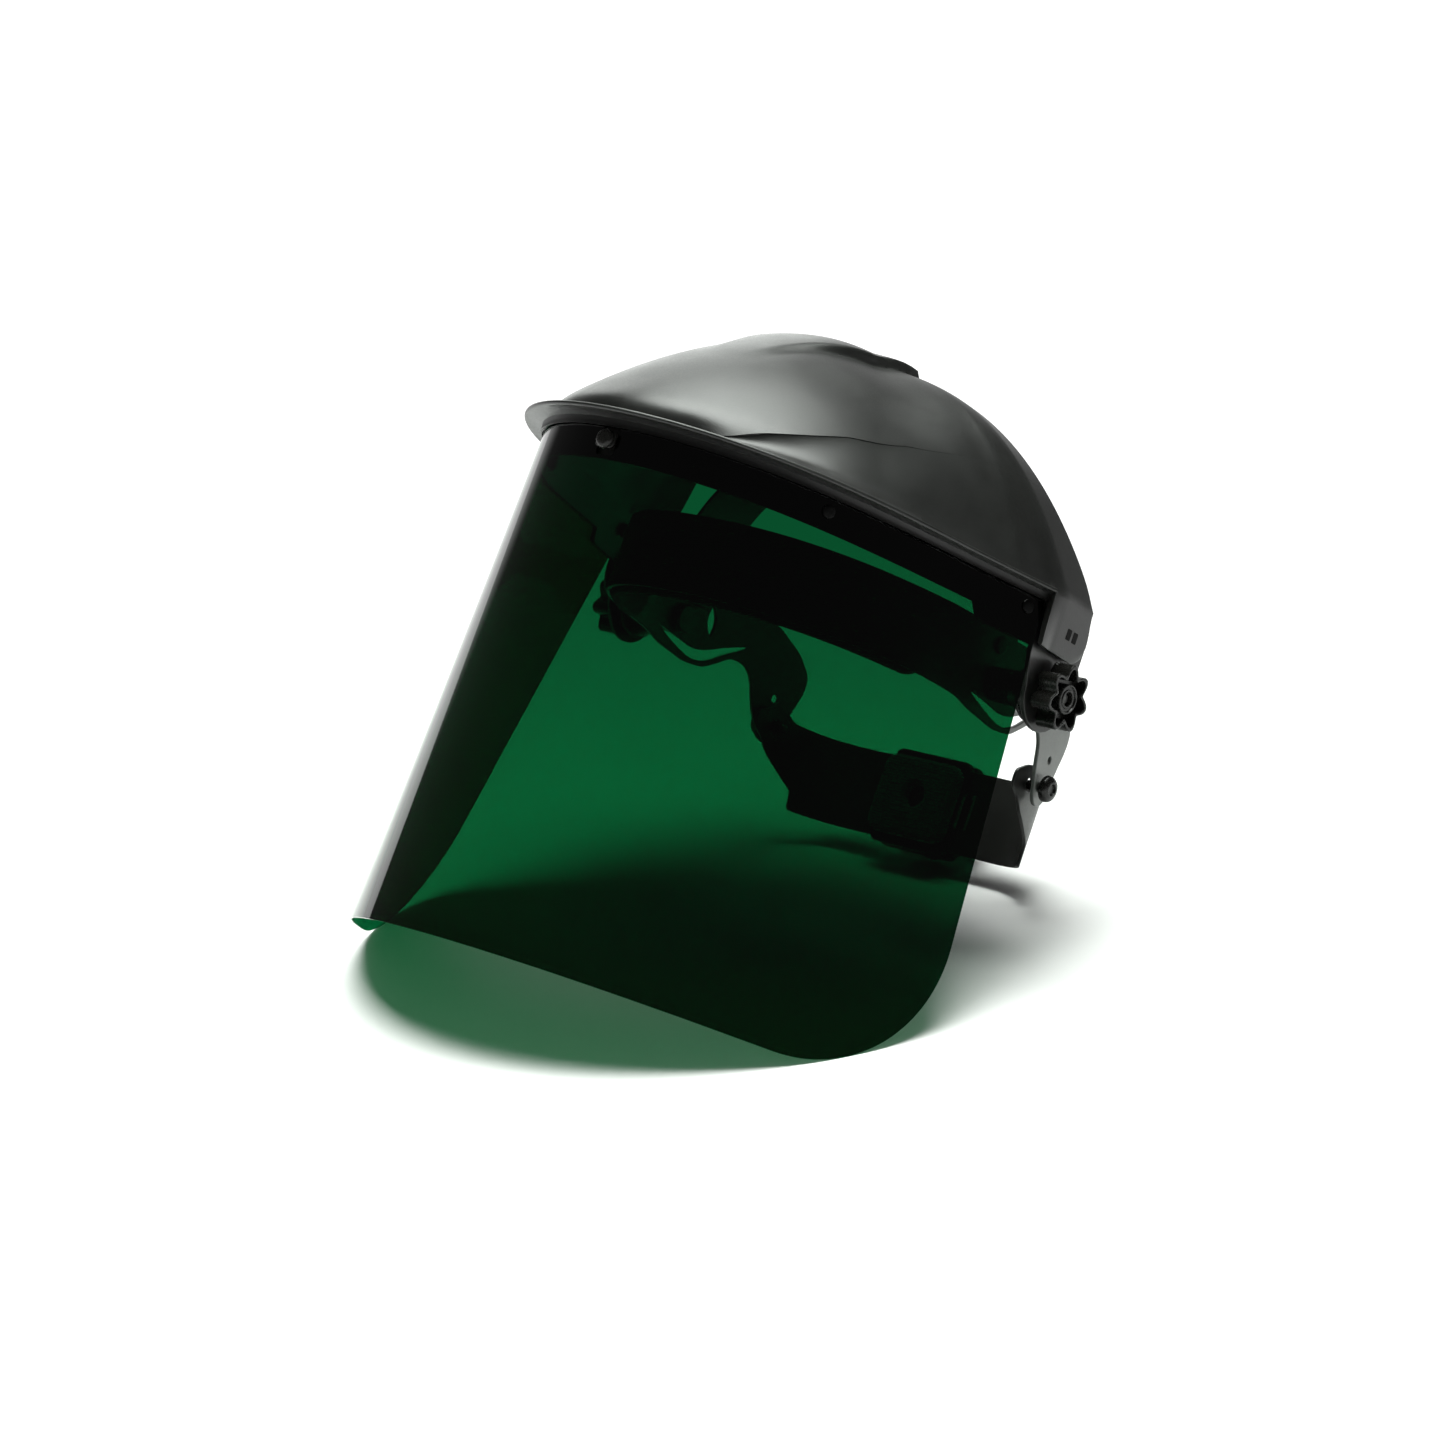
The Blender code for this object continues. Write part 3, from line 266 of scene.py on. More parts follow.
def ring(cx, cy, radius, count=28):
    return [
        (cx + radius * math.cos(2 * math.pi * k / count), cy + radius * math.sin(2 * math.pi * k / count))
        for k in range(count)
    ]


def rounded_loop(cx, cy, width, height, radius, corner=5):
    out = []
    for qx, qy, start in ((1, 1, 0.0), (-1, 1, 90.0), (-1, -1, 180.0), (1, -1, 270.0)):
        x = cx + qx * (width / 2 - radius)
        y = cy + qy * (height / 2 - radius)
        for k in range(corner + 1):
            a = math.radians(start + 90.0 * k / corner)
            out.append((x + radius * math.cos(a), y + radius * math.sin(a)))
    return out


def even(loop, step):
    """The same loop with extra points, none further apart than step."""
    out = []
    for (x0, y0), (x1, y1) in zip(loop, loop[1:] + loop[:1]):
        parts = max(1, math.ceil(math.hypot(x1 - x0, y1 - y0) / step))
        for k in range(parts):
            out.append((x0 + (x1 - x0) * k / parts, y0 + (y1 - y0) * k / parts))
    return out


def rounded_corners(loop, radius, count=5):
    """The same loop with each corner replaced by a short curve."""
    out = []
    n = len(loop)
    for i in range(n):
        a, b, c = Vector(loop[i - 1]), Vector(loop[i]), Vector(loop[(i + 1) % n])
        r = min(radius, (a - b).length * 0.45, (c - b).length * 0.45)
        p = b + (a - b).normalized() * r
        q = b + (c - b).normalized() * r
        for k in range(count + 1):
            t = k / count
            out.append(tuple(p * (1 - t) ** 2 + b * 2 * t * (1 - t) + q * t * t))
    return out


def inside_many(points, loop):
    x, y = points[:, 0], points[:, 1]
    hit = np.zeros(len(points), bool)
    for (x0, y0), (x1, y1) in zip(loop, loop[1:] + loop[:1]):
        if y0 == y1:
            continue
        crosses = (y0 > y) != (y1 > y)
        hit ^= crosses & (x < (x1 - x0) * (y - y0) / (y1 - y0) + x0)
    return hit


def slab(outline, holes, place, thick, edge=0.35, step=3.0, grid=0.0):
    """A plate with rounded edges from a flat outline with holes.

    place(u, v, depth) puts a flat point at a depth from 0 to thick. grid is the spacing of the points inside."""
    loops = [even(list(outline), step)] + [even(list(h), step) for h in holes]
    points = []
    edges = []
    for loop in loops:
        first = len(points)
        points += loop
        edges += [(first + i, first + (i + 1) % len(loop)) for i in range(len(loop))]
    if grid:
        rim = np.array(points)
        low, high = rim.min(0), rim.max(0)
        us = np.arange(low[0] + grid / 2, high[0], grid)
        vs = np.arange(low[1] + grid / 2, high[1], grid)
        cand = np.array([(u, v) for u in us for v in vs])
        keep = inside_many(cand, loops[0])
        for h in loops[1:]:
            keep &= ~inside_many(cand, h)
        cand = cand[keep]
        clear = edge + grid * 0.3
        near = np.array([np.min((rim[:, 0] - p[0]) ** 2 + (rim[:, 1] - p[1]) ** 2) for p in cand])
        points += [tuple(p) for p in cand[near > clear * clear]]
    flat, _, tris, *_ = delaunay_2d_cdt([Vector(p) for p in points], edges, [], 0, 1e-5)
    centres = np.array([((flat[a] + flat[b] + flat[c]) / 3)[:] for a, b, c in tris])
    keep = inside_many(centres, loops[0])
    for h in loops[1:]:
        keep &= ~inside_many(centres, h)
    kept = []
    for ok, (a, b, c) in zip(keep, tris):
        if ok and abs((flat[b] - flat[a]).cross(flat[c] - flat[a])) > 1e-5:
            kept.append((a, b, c))
    sides = {}
    for tri in kept:
        for a, b in zip(tri, tri[1:] + tri[:1]):
            sides.setdefault(frozenset((a, b)), []).append((a, b))
    border = [pair[0] for pair in sides.values() if len(pair) == 1]
    normals = {}
    for a, b in border:
        d = (flat[b] - flat[a]).normalized()
        for i in (a, b):
            normals[i] = normals.get(i, Vector((0.0, 0.0))) + Vector((d.y, -d.x))
    arc = [math.radians(a) for a in (0.0, 30.0, 60.0, 90.0)]
    profile = [(edge * (1 - math.sin(a)), edge * (1 - math.cos(a))) for a in arc]
    profile += [(inset, thick - depth) for inset, depth in reversed(profile)]
    verts = []
    rows = {}
    inner = {}
    for i, p in enumerate(flat):
        if i in normals:
            n = normals[i].normalized()
            rows[i] = []
            for inset, depth in profile:
                rows[i].append(len(verts))
                verts.append(place(p.x - n.x * inset, p.y - n.y * inset, depth))
        else:
            inner[i] = len(verts)
            verts.append(place(p.x, p.y, 0.0))
            verts.append(place(p.x, p.y, thick))

    def near_face(i):
        return rows[i][0] if i in rows else inner[i]

    def far_face(i):
        return rows[i][-1] if i in rows else inner[i] + 1

    faces = [tuple(near_face(i) for i in tri) for tri in kept]
    faces += [tuple(far_face(i) for i in reversed(tri)) for tri in kept]
    for a, b in border:
        for k in range(len(profile) - 1):
            faces.append((rows[b][k], rows[a][k], rows[a][k + 1], rows[b][k + 1]))
    return verts, faces


def plate_x(x0, way):
    return lambda u, v, depth: Vector((x0 + way * depth, u, v))


def plate_y(y0, way):
    return lambda u, v, depth: Vector((u, y0 + way * depth, v))


def soft_profile(points, radius=0.35):
    """A lathe profile with its corners eased, apart from the points on the axis."""
    out = []
    n = len(points)
    for i, p in enumerate(points):
        b = Vector(p)
        if p[0] < 1e-6:
            out.append(p)
            continue
        a, c = Vector(points[i - 1]), Vector(points[(i + 1) % n])
        r = min(radius, (a - b).length * 0.4, (c - b).length * 0.4)
        s = b + (a - b).normalized() * r
        e = b + (c - b).normalized() * r
        out += [tuple(s), tuple((s + e + 2 * b) / 4), tuple(e)]
    return out


def lathe(profile, origin, axis, count=48):
    axis = Vector(axis).normalized()
    base = Vector(origin) - axis * Vector(origin).dot(axis) if abs(axis.x) > 0.99 else Vector(origin)
    helper = Vector((0, 0, 1)) if abs(axis.z) < 0.9 else Vector((1, 0, 0))
    side = axis.cross(helper).normalized()
    up = side.cross(axis)
    verts = []
    index = []
    for r, h in profile:
        if r < 1e-6:
            index.append([len(verts)] * count)
            verts.append(base + axis * h)
        else:
            index.append([len(verts) + k for k in range(count)])
            for k in range(count):
                a = 2 * math.pi * k / count
                verts.append(base + axis * h + (side * math.cos(a) + up * math.sin(a)) * r)
    faces = []
    for p in range(len(profile)):
        q = (p + 1) % len(profile)
        if profile[p][0] < 1e-6 and profile[q][0] < 1e-6:
            continue
        for k in range(count):
            m = (k + 1) % count
            loop = [index[p][k], index[p][m], index[q][m], index[q][k]]
            faces.append(tuple(v for i, v in enumerate(loop) if v != loop[i - 1]))
    return verts, faces


def joined(*parts):
    verts = []
    faces = []
    for v, f in parts:
        base = len(verts)
        verts += list(v)
        faces += [tuple(i + base for i in face) for face in f]
    return verts, faces


def piece(name, parts, mat, body, nodes, sharp=40.0, weighted=True):
    """A visible piece from worn-frame geometry. It rides on a body and stands for the named CAD nodes."""
    verts, faces = parts
    mesh = bpy.data.meshes.new(name)
    mesh.from_pydata([to_row(v) for v in verts], [], faces)
    bm = bmesh.new()
    bm.from_mesh(mesh)
    bmesh.ops.remove_doubles(bm, verts=bm.verts, dist=2e-6)
    bmesh.ops.dissolve_degenerate(bm, edges=bm.edges, dist=1e-7)
    bmesh.ops.recalc_face_normals(bm, faces=bm.faces)
    bm.to_mesh(mesh)
    bm.free()
    mesh.polygons.foreach_set("use_smooth", [True] * len(mesh.polygons))
    mesh.set_sharp_from_angle(angle=math.radians(sharp))
    mesh.materials.append(mat)
    obj = bpy.data.objects.new(name, mesh)
    bpy.context.scene.collection.objects.link(obj)
    if weighted:
        mod = obj.modifiers.new("even_shading", "WEIGHTED_NORMAL")
        mod.keep_sharp = True
    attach(obj, body)
    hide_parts(*nodes)
    return obj


# ---------------------------------------------------------------- materials


class Nodes:
    """A short way to build a node material."""

    def __init__(self, name):
        self.mat = bpy.data.materials.new(name)
        self.mat.use_nodes = True
        self.tree = self.mat.node_tree
        self.shader = self.tree.nodes["Principled BSDF"]
        self.out = self.tree.nodes["Material Output"]
        self.coords = self.add("ShaderNodeTexCoord").outputs["Object"]

    def add(self, kind, **values):
        node = self.tree.nodes.new(kind)
        for key, value in values.items():
            setattr(node, key, value)
        return node

    def link(self, a, b):
        self.tree.links.new(a, b)

    def noise(self, scale, detail=3.0, rough=0.55, stretch=None):
        node = self.add("ShaderNodeTexNoise")
        node.inputs["Scale"].default_value = scale
        node.inputs["Detail"].default_value = detail
        node.inputs["Roughness"].default_value = rough
        source = self.coords
        if stretch:
            mapping = self.add("ShaderNodeMapping")
            mapping.inputs["Scale"].default_value = stretch
            self.link(self.coords, mapping.inputs["Vector"])
            source = mapping.outputs["Vector"]
        self.link(source, node.inputs["Vector"])
        return node.outputs["Fac"]

    def ramp(self, value, low, high, at=(0.3, 0.7)):
        """value between at[0] and at[1] becomes a number or colour between low and high."""
        colour = isinstance(low, tuple)
        node = self.add("ShaderNodeMapRange") if not colour else self.add("ShaderNodeMix", data_type="RGBA")
        if not colour:
            node.inputs["From Min"].default_value, node.inputs["From Max"].default_value = at
            node.inputs["To Min"].default_value, node.inputs["To Max"].default_value = low, high
            self.link(value, node.inputs["Value"])
            return node.outputs["Result"]
        share = self.ramp(value, 0.0, 1.0, at)
        self.link(share, node.inputs["Factor"])
        node.inputs["A"].default_value = (*low, 1.0)
        node.inputs["B"].default_value = (*high, 1.0)
        return node.outputs["Result"]

    def blend(self, share, a, b):
        node = self.add("ShaderNodeMix", data_type="RGBA")
        self.link(share, node.inputs["Factor"])
        for value, socket in ((a, node.inputs["A"]), (b, node.inputs["B"])):
            if isinstance(value, tuple):
                socket.default_value = (*value, 1.0)
            else:
                self.link(value, socket)
        return node.outputs["Result"]

    def maths(self, operation, a, b=None):
        node = self.add("ShaderNodeMath", operation=operation)
        for value, socket in ((a, node.inputs[0]), (b, node.inputs[1])):
            if value is None:
                continue
            if isinstance(value, (int, float)):
                socket.default_value = value
            else:
                self.link(value, socket)
        return node.outputs[0]

    def bump(self, height, strength, distance):
        node = self.add("ShaderNodeBump")
        node.inputs["Strength"].default_value = strength
        node.inputs["Distance"].default_value = distance
        self.link(height, node.inputs["Height"])
        self.link(node.outputs["Normal"], self.shader.inputs["Normal"])

    def edges(self, low=0.52, high=0.6):
        """1 along convex edges, 0 elsewhere."""
        point = self.add("ShaderNodeNewGeometry").outputs["Pointiness"]
        return self.ramp(point, 0.0, 1.0, (low, high))


def plastic(name, base, rough, grain, depth, wear=1.6, spread=0.06, ior=1.5):
    """Moulded plastic: spark-eroded grain, faint flow marks, handling shine and paler worn edges."""
    n = Nodes(name)
    dark = tuple(c * 0.82 for c in base)
    light = tuple(c * 1.18 for c in base)
    worn = tuple(c * wear + 0.004 for c in base)
    colour = n.ramp(n.noise(45.0, 4.0), dark, light, (0.35, 0.65))
    scuffed = n.maths("MULTIPLY", n.edges(), n.ramp(n.noise(160.0), 0.2, 1.0))
    n.link(n.blend(scuffed, colour, worn), n.shader.inputs["Base Color"])
    handled = n.ramp(n.noise(22.0, 5.0, 0.6), rough - spread, rough + spread)
    speck = n.ramp(n.noise(grain, 1.0), -0.03, 0.03)
    n.link(n.maths("ADD", handled, speck), n.shader.inputs["Roughness"])
    n.shader.inputs["IOR"].default_value = ior
    fine = n.noise(grain, 2.0, 0.6)
    flow = n.noise(60.0, 2.0, 0.5, (1.0, 1.0, 6.0))
    n.bump(n.maths("ADD", fine, n.maths("MULTIPLY", flow, 0.35)), 0.5, depth)
    return n.mat


def metal(name, base, rough):
    n = Nodes(name)
    n.shader.inputs["Metallic"].default_value = 1.0
    n.link(n.ramp(n.noise(300.0), tuple(c * 0.8 for c in base), base), n.shader.inputs["Base Color"])
    n.link(n.ramp(n.noise(500.0, 4.0), rough - 0.08, rough + 0.1), n.shader.inputs["Roughness"])
    n.bump(n.noise(2500.0, 2.0), 0.3, 0.00002)
    return n.mat


def knit(name, base):
    """Knitted cloth over foam: rows of small stitches with fuzz between them."""
    n = Nodes(name)
    waves = []
    for axis, scale in ((0, 1.0), (1, 0.7), (2, 1.0)):
        wave = n.add("ShaderNodeTexWave", bands_direction="XYZ"[axis])
        wave.inputs["Scale"].default_value = 320.0 * scale
        wave.inputs["Distortion"].default_value = 1.6
        wave.inputs["Detail Scale"].default_value = 3.0
        n.link(n.coords, wave.inputs["Vector"])
        waves.append(wave.outputs["Fac"])
    weave = n.maths("MULTIPLY", n.maths("ADD", waves[0], waves[1]), waves[2])
    fuzz = n.noise(1800.0, 4.0, 0.7)
    height = n.maths("ADD", weave, n.maths("MULTIPLY", fuzz, 0.8))
    tone = n.ramp(n.maths("ADD", n.maths("MULTIPLY", weave, 0.4), n.noise(35.0)), tuple(c * 0.55 for c in base), base)
    n.link(tone, n.shader.inputs["Base Color"])
    n.shader.inputs["Roughness"].default_value = 0.95
    n.shader.inputs["Sheen Weight"].default_value = 0.35
    n.shader.inputs["Sheen Roughness"].default_value = 0.5
    n.bump(height, 0.8, 0.00025)
    return n.mat


def tinted_sheet(name, tint, ior):
    """One face of the tinted sheet: it passes half of the tint and mirrors the room from its air side."""
    n = Nodes(name)
    n.tree.nodes.remove(n.shader)
    clear = n.add("ShaderNodeBsdfTransparent")
    face = tuple(math.sqrt(c) for c in tint)
    haze = n.ramp(n.noise(14.0, 5.0), tuple(c * 0.97 for c in face), face)
    n.link(haze, clear.inputs["Color"])
    gloss = n.add("ShaderNodeBsdfGlossy")
    gloss.inputs["Color"].default_value = (1.0, 1.0, 1.0, 1.0)
    n.link(n.ramp(n.noise(30.0, 6.0, 0.65), 0.015, 0.05), gloss.inputs["Roughness"])
    fresnel = n.add("ShaderNodeFresnel")
    fresnel.inputs["IOR"].default_value = ior
    back = n.add("ShaderNodeNewGeometry").outputs["Backfacing"]
    share = n.maths("MULTIPLY", fresnel.outputs[0], n.maths("SUBTRACT", 1.0, back))
    mix = n.add("ShaderNodeMixShader")
    n.link(share, mix.inputs["Fac"])
    n.link(clear.outputs[0], mix.inputs[1])
    n.link(gloss.outputs[0], mix.inputs[2])
    n.link(mix.outputs[0], n.out.inputs["Surface"])
    return n.mat


CROWN = plastic("crown_satin", (0.0046, 0.0050, 0.0044), 0.38, 1500.0, 0.00006, ior=1.5)
# Near-black matte plastic. On the ears it is painted shade: dark patches stand for the shade inside the small slots,
# which are not cut. The studs' caps use it as their own matte black.
SLOT_SHADE_AND_STUD_BLACK = plastic("painted_slot_shade_and_stud_black", (0.0015, 0.0015, 0.0015), 0.7, 1500.0, 0.00002, ior=1.2)
RAIL = plastic("rail_satin", (0.005, 0.005, 0.0045), 0.36, 1500.0, 0.00004, ior=1.42)
BLACK = plastic("moulded_black", (0.0045, 0.0045, 0.004), 0.27, 1200.0, 0.00004, wear=2.2, ior=1.34)
BAND = plastic("harness_nylon", (0.05, 0.055, 0.05), 0.38, 1000.0, 0.00004)
STRAP = plastic("strap_plastic", (0.010, 0.0105, 0.0095), 0.4, 1000.0, 0.00004, ior=1.42)
NYLON = plastic("natural_nylon", (0.6, 0.58, 0.5), 0.45, 900.0, 0.00003, wear=1.1)
STEEL = metal("dark_zinc_plate", (0.09, 0.09, 0.088), 0.42)
BRASS = metal("brass_insert", (0.72, 0.52, 0.25), 0.36)
CLOTH = knit("sweatband_knit", (0.022, 0.022, 0.024))
GREEN = tinted_sheet("green_sheet", (0.0006, 0.0585, 0.0172), 1.42)
GREEN_INNER = tinted_sheet("green_sheet_anti_fog_face", (0.0006, 0.0585, 0.0172), 1.08)

# ---------------------------------------------------------------- crown


def dome_base_offset(u):
    if abs(u) <= SHEET_HALF - 20:
        return DOME_BASE_OFFSET
    return DOME_BASE_OFFSET + (EAR_OUTER - DOME_BASE_OFFSET) * ease((abs(u) - SHEET_HALF + 20) / 26.0)


BASE_U = np.linspace(0.0, SHEET_HALF + TAIL_LENGTH + 2.0, 400)
BASE_XY = np.array([shell_offset(u, 0.0, dome_base_offset(u))[:2] for u in BASE_U])
BASE_ANGLE = np.degrees(np.arctan2(BASE_XY[:, 0], DOME_CENTRE_Y - BASE_XY[:, 1]))


REAR_PULL, REAR_PULL_REACH = 2.6, 8.0


def rear_pull(u, z):
    """The arc length at height z after the rear edge is drawn in, so that dome meets ear in a curve."""
    share = ease((abs(u) - SHEET_HALF - 8.0) / (TAIL_LENGTH - 8.0))
    return u - math.copysign(REAR_PULL * share * math.exp(-(z / REAR_PULL_REACH) ** 2), u)


def dome_point(u, r):
    """The dome's plain outer surface: r runs from the spine over the head (0) to the rim (1)."""
    side = 1.0 if u >= 0 else -1.0
    fullness = ease((float(np.interp(abs(u), BASE_U, BASE_XY[:, 1])) + 95.0) / 95.0)
    z = DOME_HEIGHT * (1 - r ** (DOME_POWER + DOME_BACK_FULLNESS * fullness)) + 0.6
    u = rear_pull(u, z)
    bx = side * float(np.interp(abs(u), BASE_U, BASE_XY[:, 0]))
    back = float(np.interp(abs(u), BASE_U, BASE_XY[:, 1])) - DOME_CENTRE_Y
    behind = ease((back + 14.0) / 28.0)
    share = r + (SPINE_SHARE + (1 - SPINE_SHARE) * r * r - r) * behind
    return Vector((bx * r, DOME_CENTRE_Y + back * share, z))


def dome_normal(u, r):
    r = max(r, 0.004)
    across = dome_point(u + 0.5, r) - dome_point(u - 0.5, r)
    along = dome_point(u, r + 0.004) - dome_point(u, r - 0.004)
    n = along.cross(across)
    n = Vector((0, 0, 1)) if n.length < 1e-9 else n.normalized()
    return n if n.z > 0 else -n


HOOD_FRONT_Y = -112.0
HOOD_HEIGHT = 4.0


def hood_height(p):
    """The raised hood over the middle of the dome: it grows out of the front and is widest at the back."""
    t = (p.y - HOOD_FRONT_Y) / 90.0
    if t <= 0:
        return 0.0
    half = 9.0 + 15.0 * min(1.0, t) ** 0.9
    wall = 2.6 + 7.4 * (1 - ease(t / 0.8))
    return HOOD_HEIGHT * ease(t / 0.75) * ease((half - abs(p.x)) / wall + 0.5)


CREASE_ANGLES = (0.0, 17.0, 21.3, 26.3, 33.5, 42.3, 59.7, 81.4, 100.0, 180.0)
CREASE_R = (0.999, 0.999, 0.985, 0.937, 0.889, 0.83, 0.767, 0.749, 0.75, 0.76)
PANEL_DEPTH = (0.0, 0.0, 0.7, 1.4, 1.3, 0.8, 0.35, 0.0, 0.0, 0.0)

CREASE_SMOOTHING = np.linspace(-1.5, 1.5, 9)


def crease(u):
    """Where the side panel's upper edge lies (r), and how deep the panel is let in, at arc length u."""
    angles = float(np.interp(abs(u), BASE_U, BASE_ANGLE)) + CREASE_SMOOTHING
    edge = float(np.mean(np.interp(angles, CREASE_ANGLES, CREASE_R)))
    return edge, float(np.mean(np.interp(angles, CREASE_ANGLES, PANEL_DEPTH)))


def lip_width(u):
    return LIP_SIDE + (LIP_FRONT - LIP_SIDE) * max(0.0, math.cos(math.pi / 2 * min(1.0, abs(u) / 150.0)))


EAR_CORNER = 8.0


def ear_bottom(u):
    back = abs(u) - (SHEET_HALF + TAIL_LENGTH - EAR_CORNER)
    return EAR_BOTTOM + EAR_CORNER - math.sqrt(EAR_CORNER ** 2 - min(EAR_CORNER, max(0.0, back)) ** 2)


# How far the ears' painted-shade slot patches stand proud of the ear surface.
EAR_SLOT_SHADE_STEP = 0.12
BROW_WALL_OFFSET = -0.9
BROW_WALL_ROUND = 1.6


def brow_wall(u, p, limit):
    """How far inwards a point at the front moves, so that the dome meets its lip in a short upright wall."""
    angle = float(np.interp(abs(u), BASE_U, BASE_ANGLE))
    share = 1.0 - 0.45 * ease((angle - 13.0) / 11.0) - 0.55 * ease((angle - 78.0) / 14.0)
    if share == 0.0:
        return Vector((0.0, 0.0, 0.0))
    rim = shell_point(u, 0.0)
    out = shell_offset(u, 0.0, 1.0) - rim
    over = (Vector((p.x, p.y, 0.0)) - rim).dot(out) - limit
    push = BROW_WALL_ROUND * math.log1p(math.exp(min(30.0, over / BROW_WALL_ROUND)))
    return out * (-share * push)


def crown_outer(u, rows_above, rows_below):
    edge, depth = crease(u)
    out = []
    for k in range(rows_above + 1):
        r = edge * k / rows_above
        p = dome_point(u, r)
        lift = hood_height(p)
        out.append(p + dome_normal(u, r) * lift + brow_wall(u, p, BROW_WALL_OFFSET))
    for k in range(rows_below + 1):
        s = k / rows_below
        r = edge + (1 - edge) * s
        p = dome_point(u, r)
        step = min(1.0, depth * 2.0) * 0.3
        sink = (step + depth * math.sin(math.pi * min(1.0, s * 1.05)) ** 0.8) if k < rows_below else 0.0
        sink = sink * (1 - ease((s - 0.75) / 0.25))
        sink += 0.02 if k == 0 else 0.0
        out.append(p - dome_normal(u, r) * sink + brow_wall(u, p, BROW_WALL_OFFSET) * (1 - s) ** 0.7)
    return out


def crown_rim(u):
    """The rolled lip round the front, or the flat ear behind the window, as one row of points."""
    out = []
    if abs(u) > SHEET_HALF + 1.0:
        low = ear_bottom(u)
        for z in np.linspace(-1.5, low + 1.0, 8):
            out.append(shell_offset(rear_pull(u, z), z, EAR_OUTER))
        out.append(shell_offset(u, low + 0.25, EAR_OUTER - 0.25))
        out.append(shell_offset(u, low, (EAR_OUTER + EAR_INNER) / 2))
        out.append(shell_offset(u, low + 0.25, EAR_INNER + 0.25))
        for z in np.linspace(low + 1.0, -3.0, 4):
            out.append(shell_offset(rear_pull(u, z), z, EAR_INNER))
        return out
    lip = lip_width(u)
    radius = 0.9
    centre = max(lip - radius, 6.1)
    for a in (88.0, 60.0, 30.0, 0.0, -30.0, -60.0, -88.0):
        a = math.radians(a)
        out.append(shell_offset(u, -0.3 + radius * math.sin(a), centre + radius * math.cos(a)))
    out.append(shell_offset(u, -1.0, centre - 0.9))
    out.append(shell_offset(u, -1.3, 4.2))
    out.append(shell_offset(u, -1.8, 2.4))
    out.append(shell_offset(u, -3.2, 2.1))
    out.append(shell_offset(u, -4.6, 2.0))
    out.append(shell_offset(u, -5.0, 2.2))
    out.append(shell_offset(u, -4.8, 1.2))
    out.append(shell_offset(u, -0.8, 1.0))
    return out


def crown_inner(u, rows):
    out = []
    for k in range(rows + 1):
        r = 0.97 * (1 - k / rows)
        p = dome_point(u, r)
        out.append(p + dome_normal(u, r) * (hood_height(p) * 0.85 - DOME_THICK) + brow_wall(u, p, BROW_WALL_OFFSET - 1.0))
    return out


def build_crown():
    above, below, inner_rows = 110, 16, 40
    tail = [SHEET_HALF + d for d in (1.9, 2.4)] + list(np.linspace(SHEET_HALF + 4.0, SHEET_HALF + TAIL_LENGTH, 26))
    half = list(np.linspace(0.0, SHEET_HALF, 180)) + tail
    stations = [-u for u in reversed(half[1:])] + half
    sections = []
    for u in stations:
        outer = crown_outer(u, above, below)
        sections.append((outer, crown_rim(u), crown_inner(u, inner_rows)))
    verts = []
    faces = []
    rows = 0
    for outer, rim, inner in sections:
        line = outer + rim + inner
        rows = len(line)
        verts += line
    for i in range(len(stations) - 1):
        for j in range(rows - 1):
            a, b = i * rows + j, (i + 1) * rows + j
            faces.append((a, a + 1, b + 1, b))
    n_outer = len(sections[0][0])
    n_rim = len(sections[0][1])
    for i, way in ((0, 1), (len(stations) - 1, -1)):
        base = i * rows
        outer = [base + k for k in range(n_outer)]
        inner = [base + rows - 1 - k for k in range(inner_rows + 1)]
        a = b = 0
        while a < len(outer) - 1 or b < len(inner) - 1:
            if b == len(inner) - 1 or (a < len(outer) - 1 and (a + 1) / (len(outer) - 1) <= (b + 1) / (len(inner) - 1)):
                faces.append((outer[a], outer[a + 1], inner[b]))
                a += 1
            else:
                faces.append((outer[a], inner[b + 1], inner[b]))
                b += 1
        rim = [base + n_outer + k for k in range(n_rim)]
        faces.append((outer[-1], rim[0], rim[-1], inner[-1]))
        for k in range(n_rim // 2):
            lo, hi = k, n_rim - 1 - k
            if hi - lo > 1:
                faces.append(tuple(v for v in (rim[lo], rim[lo + 1], rim[hi - 1], rim[hi])) if hi - lo > 2
                             else (rim[lo], rim[lo + 1], rim[hi]))
    piece("crown_shell", (verts, faces), CROWN, "guard", ["crown_guard"], sharp=48.0, weighted=False)
    # Painted shade: near-black patches, set just proud of each ear, stand for the shade inside its two small slots,
    # which are not cut through.
    slot_shade_patches = []
    for side in (-1, 1):
        for y in (15.0, 19.6):
            on_ear = lambda u, v, depth: shell_offset(u, v, EAR_OUTER + EAR_SLOT_SHADE_STEP - depth)
            slot_shade_patches.append(slab(rounded_loop(tail_u(y) * side, -12.2, 3.0, 4.4, 0.5), [], on_ear, 1.0, 0.01))
    piece("ear_slot_painted_shade", joined(*slot_shade_patches), SLOT_SHADE_AND_STUD_BLACK, "guard", ["crown_guard"])


# ---------------------------------------------------------------- window, rail and fasteners


def window_floor(u):
    """Height of the window's lower edge at arc length u, round its big lower corners."""
    over = abs(u) - (SHEET_HALF - CORNER_RADIUS)
    if over <= 0:
        return WINDOW_BOTTOM
    return WINDOW_BOTTOM + CORNER_RADIUS - math.sqrt(max(0.0, CORNER_RADIUS ** 2 - over ** 2))


def cut(obj, cutters):
    for c in cutters:
        mod = obj.modifiers.new("cut", "BOOLEAN")
        mod.operation = "DIFFERENCE"
        mod.solver = "EXACT"
        mod.object = c
    graph = bpy.context.evaluated_depsgraph_get()
    mesh = bpy.data.meshes.new_from_object(obj.evaluated_get(graph))
    obj.modifiers.clear()
    obj.data = mesh
    for c in cutters:
        bpy.data.objects.remove(c)


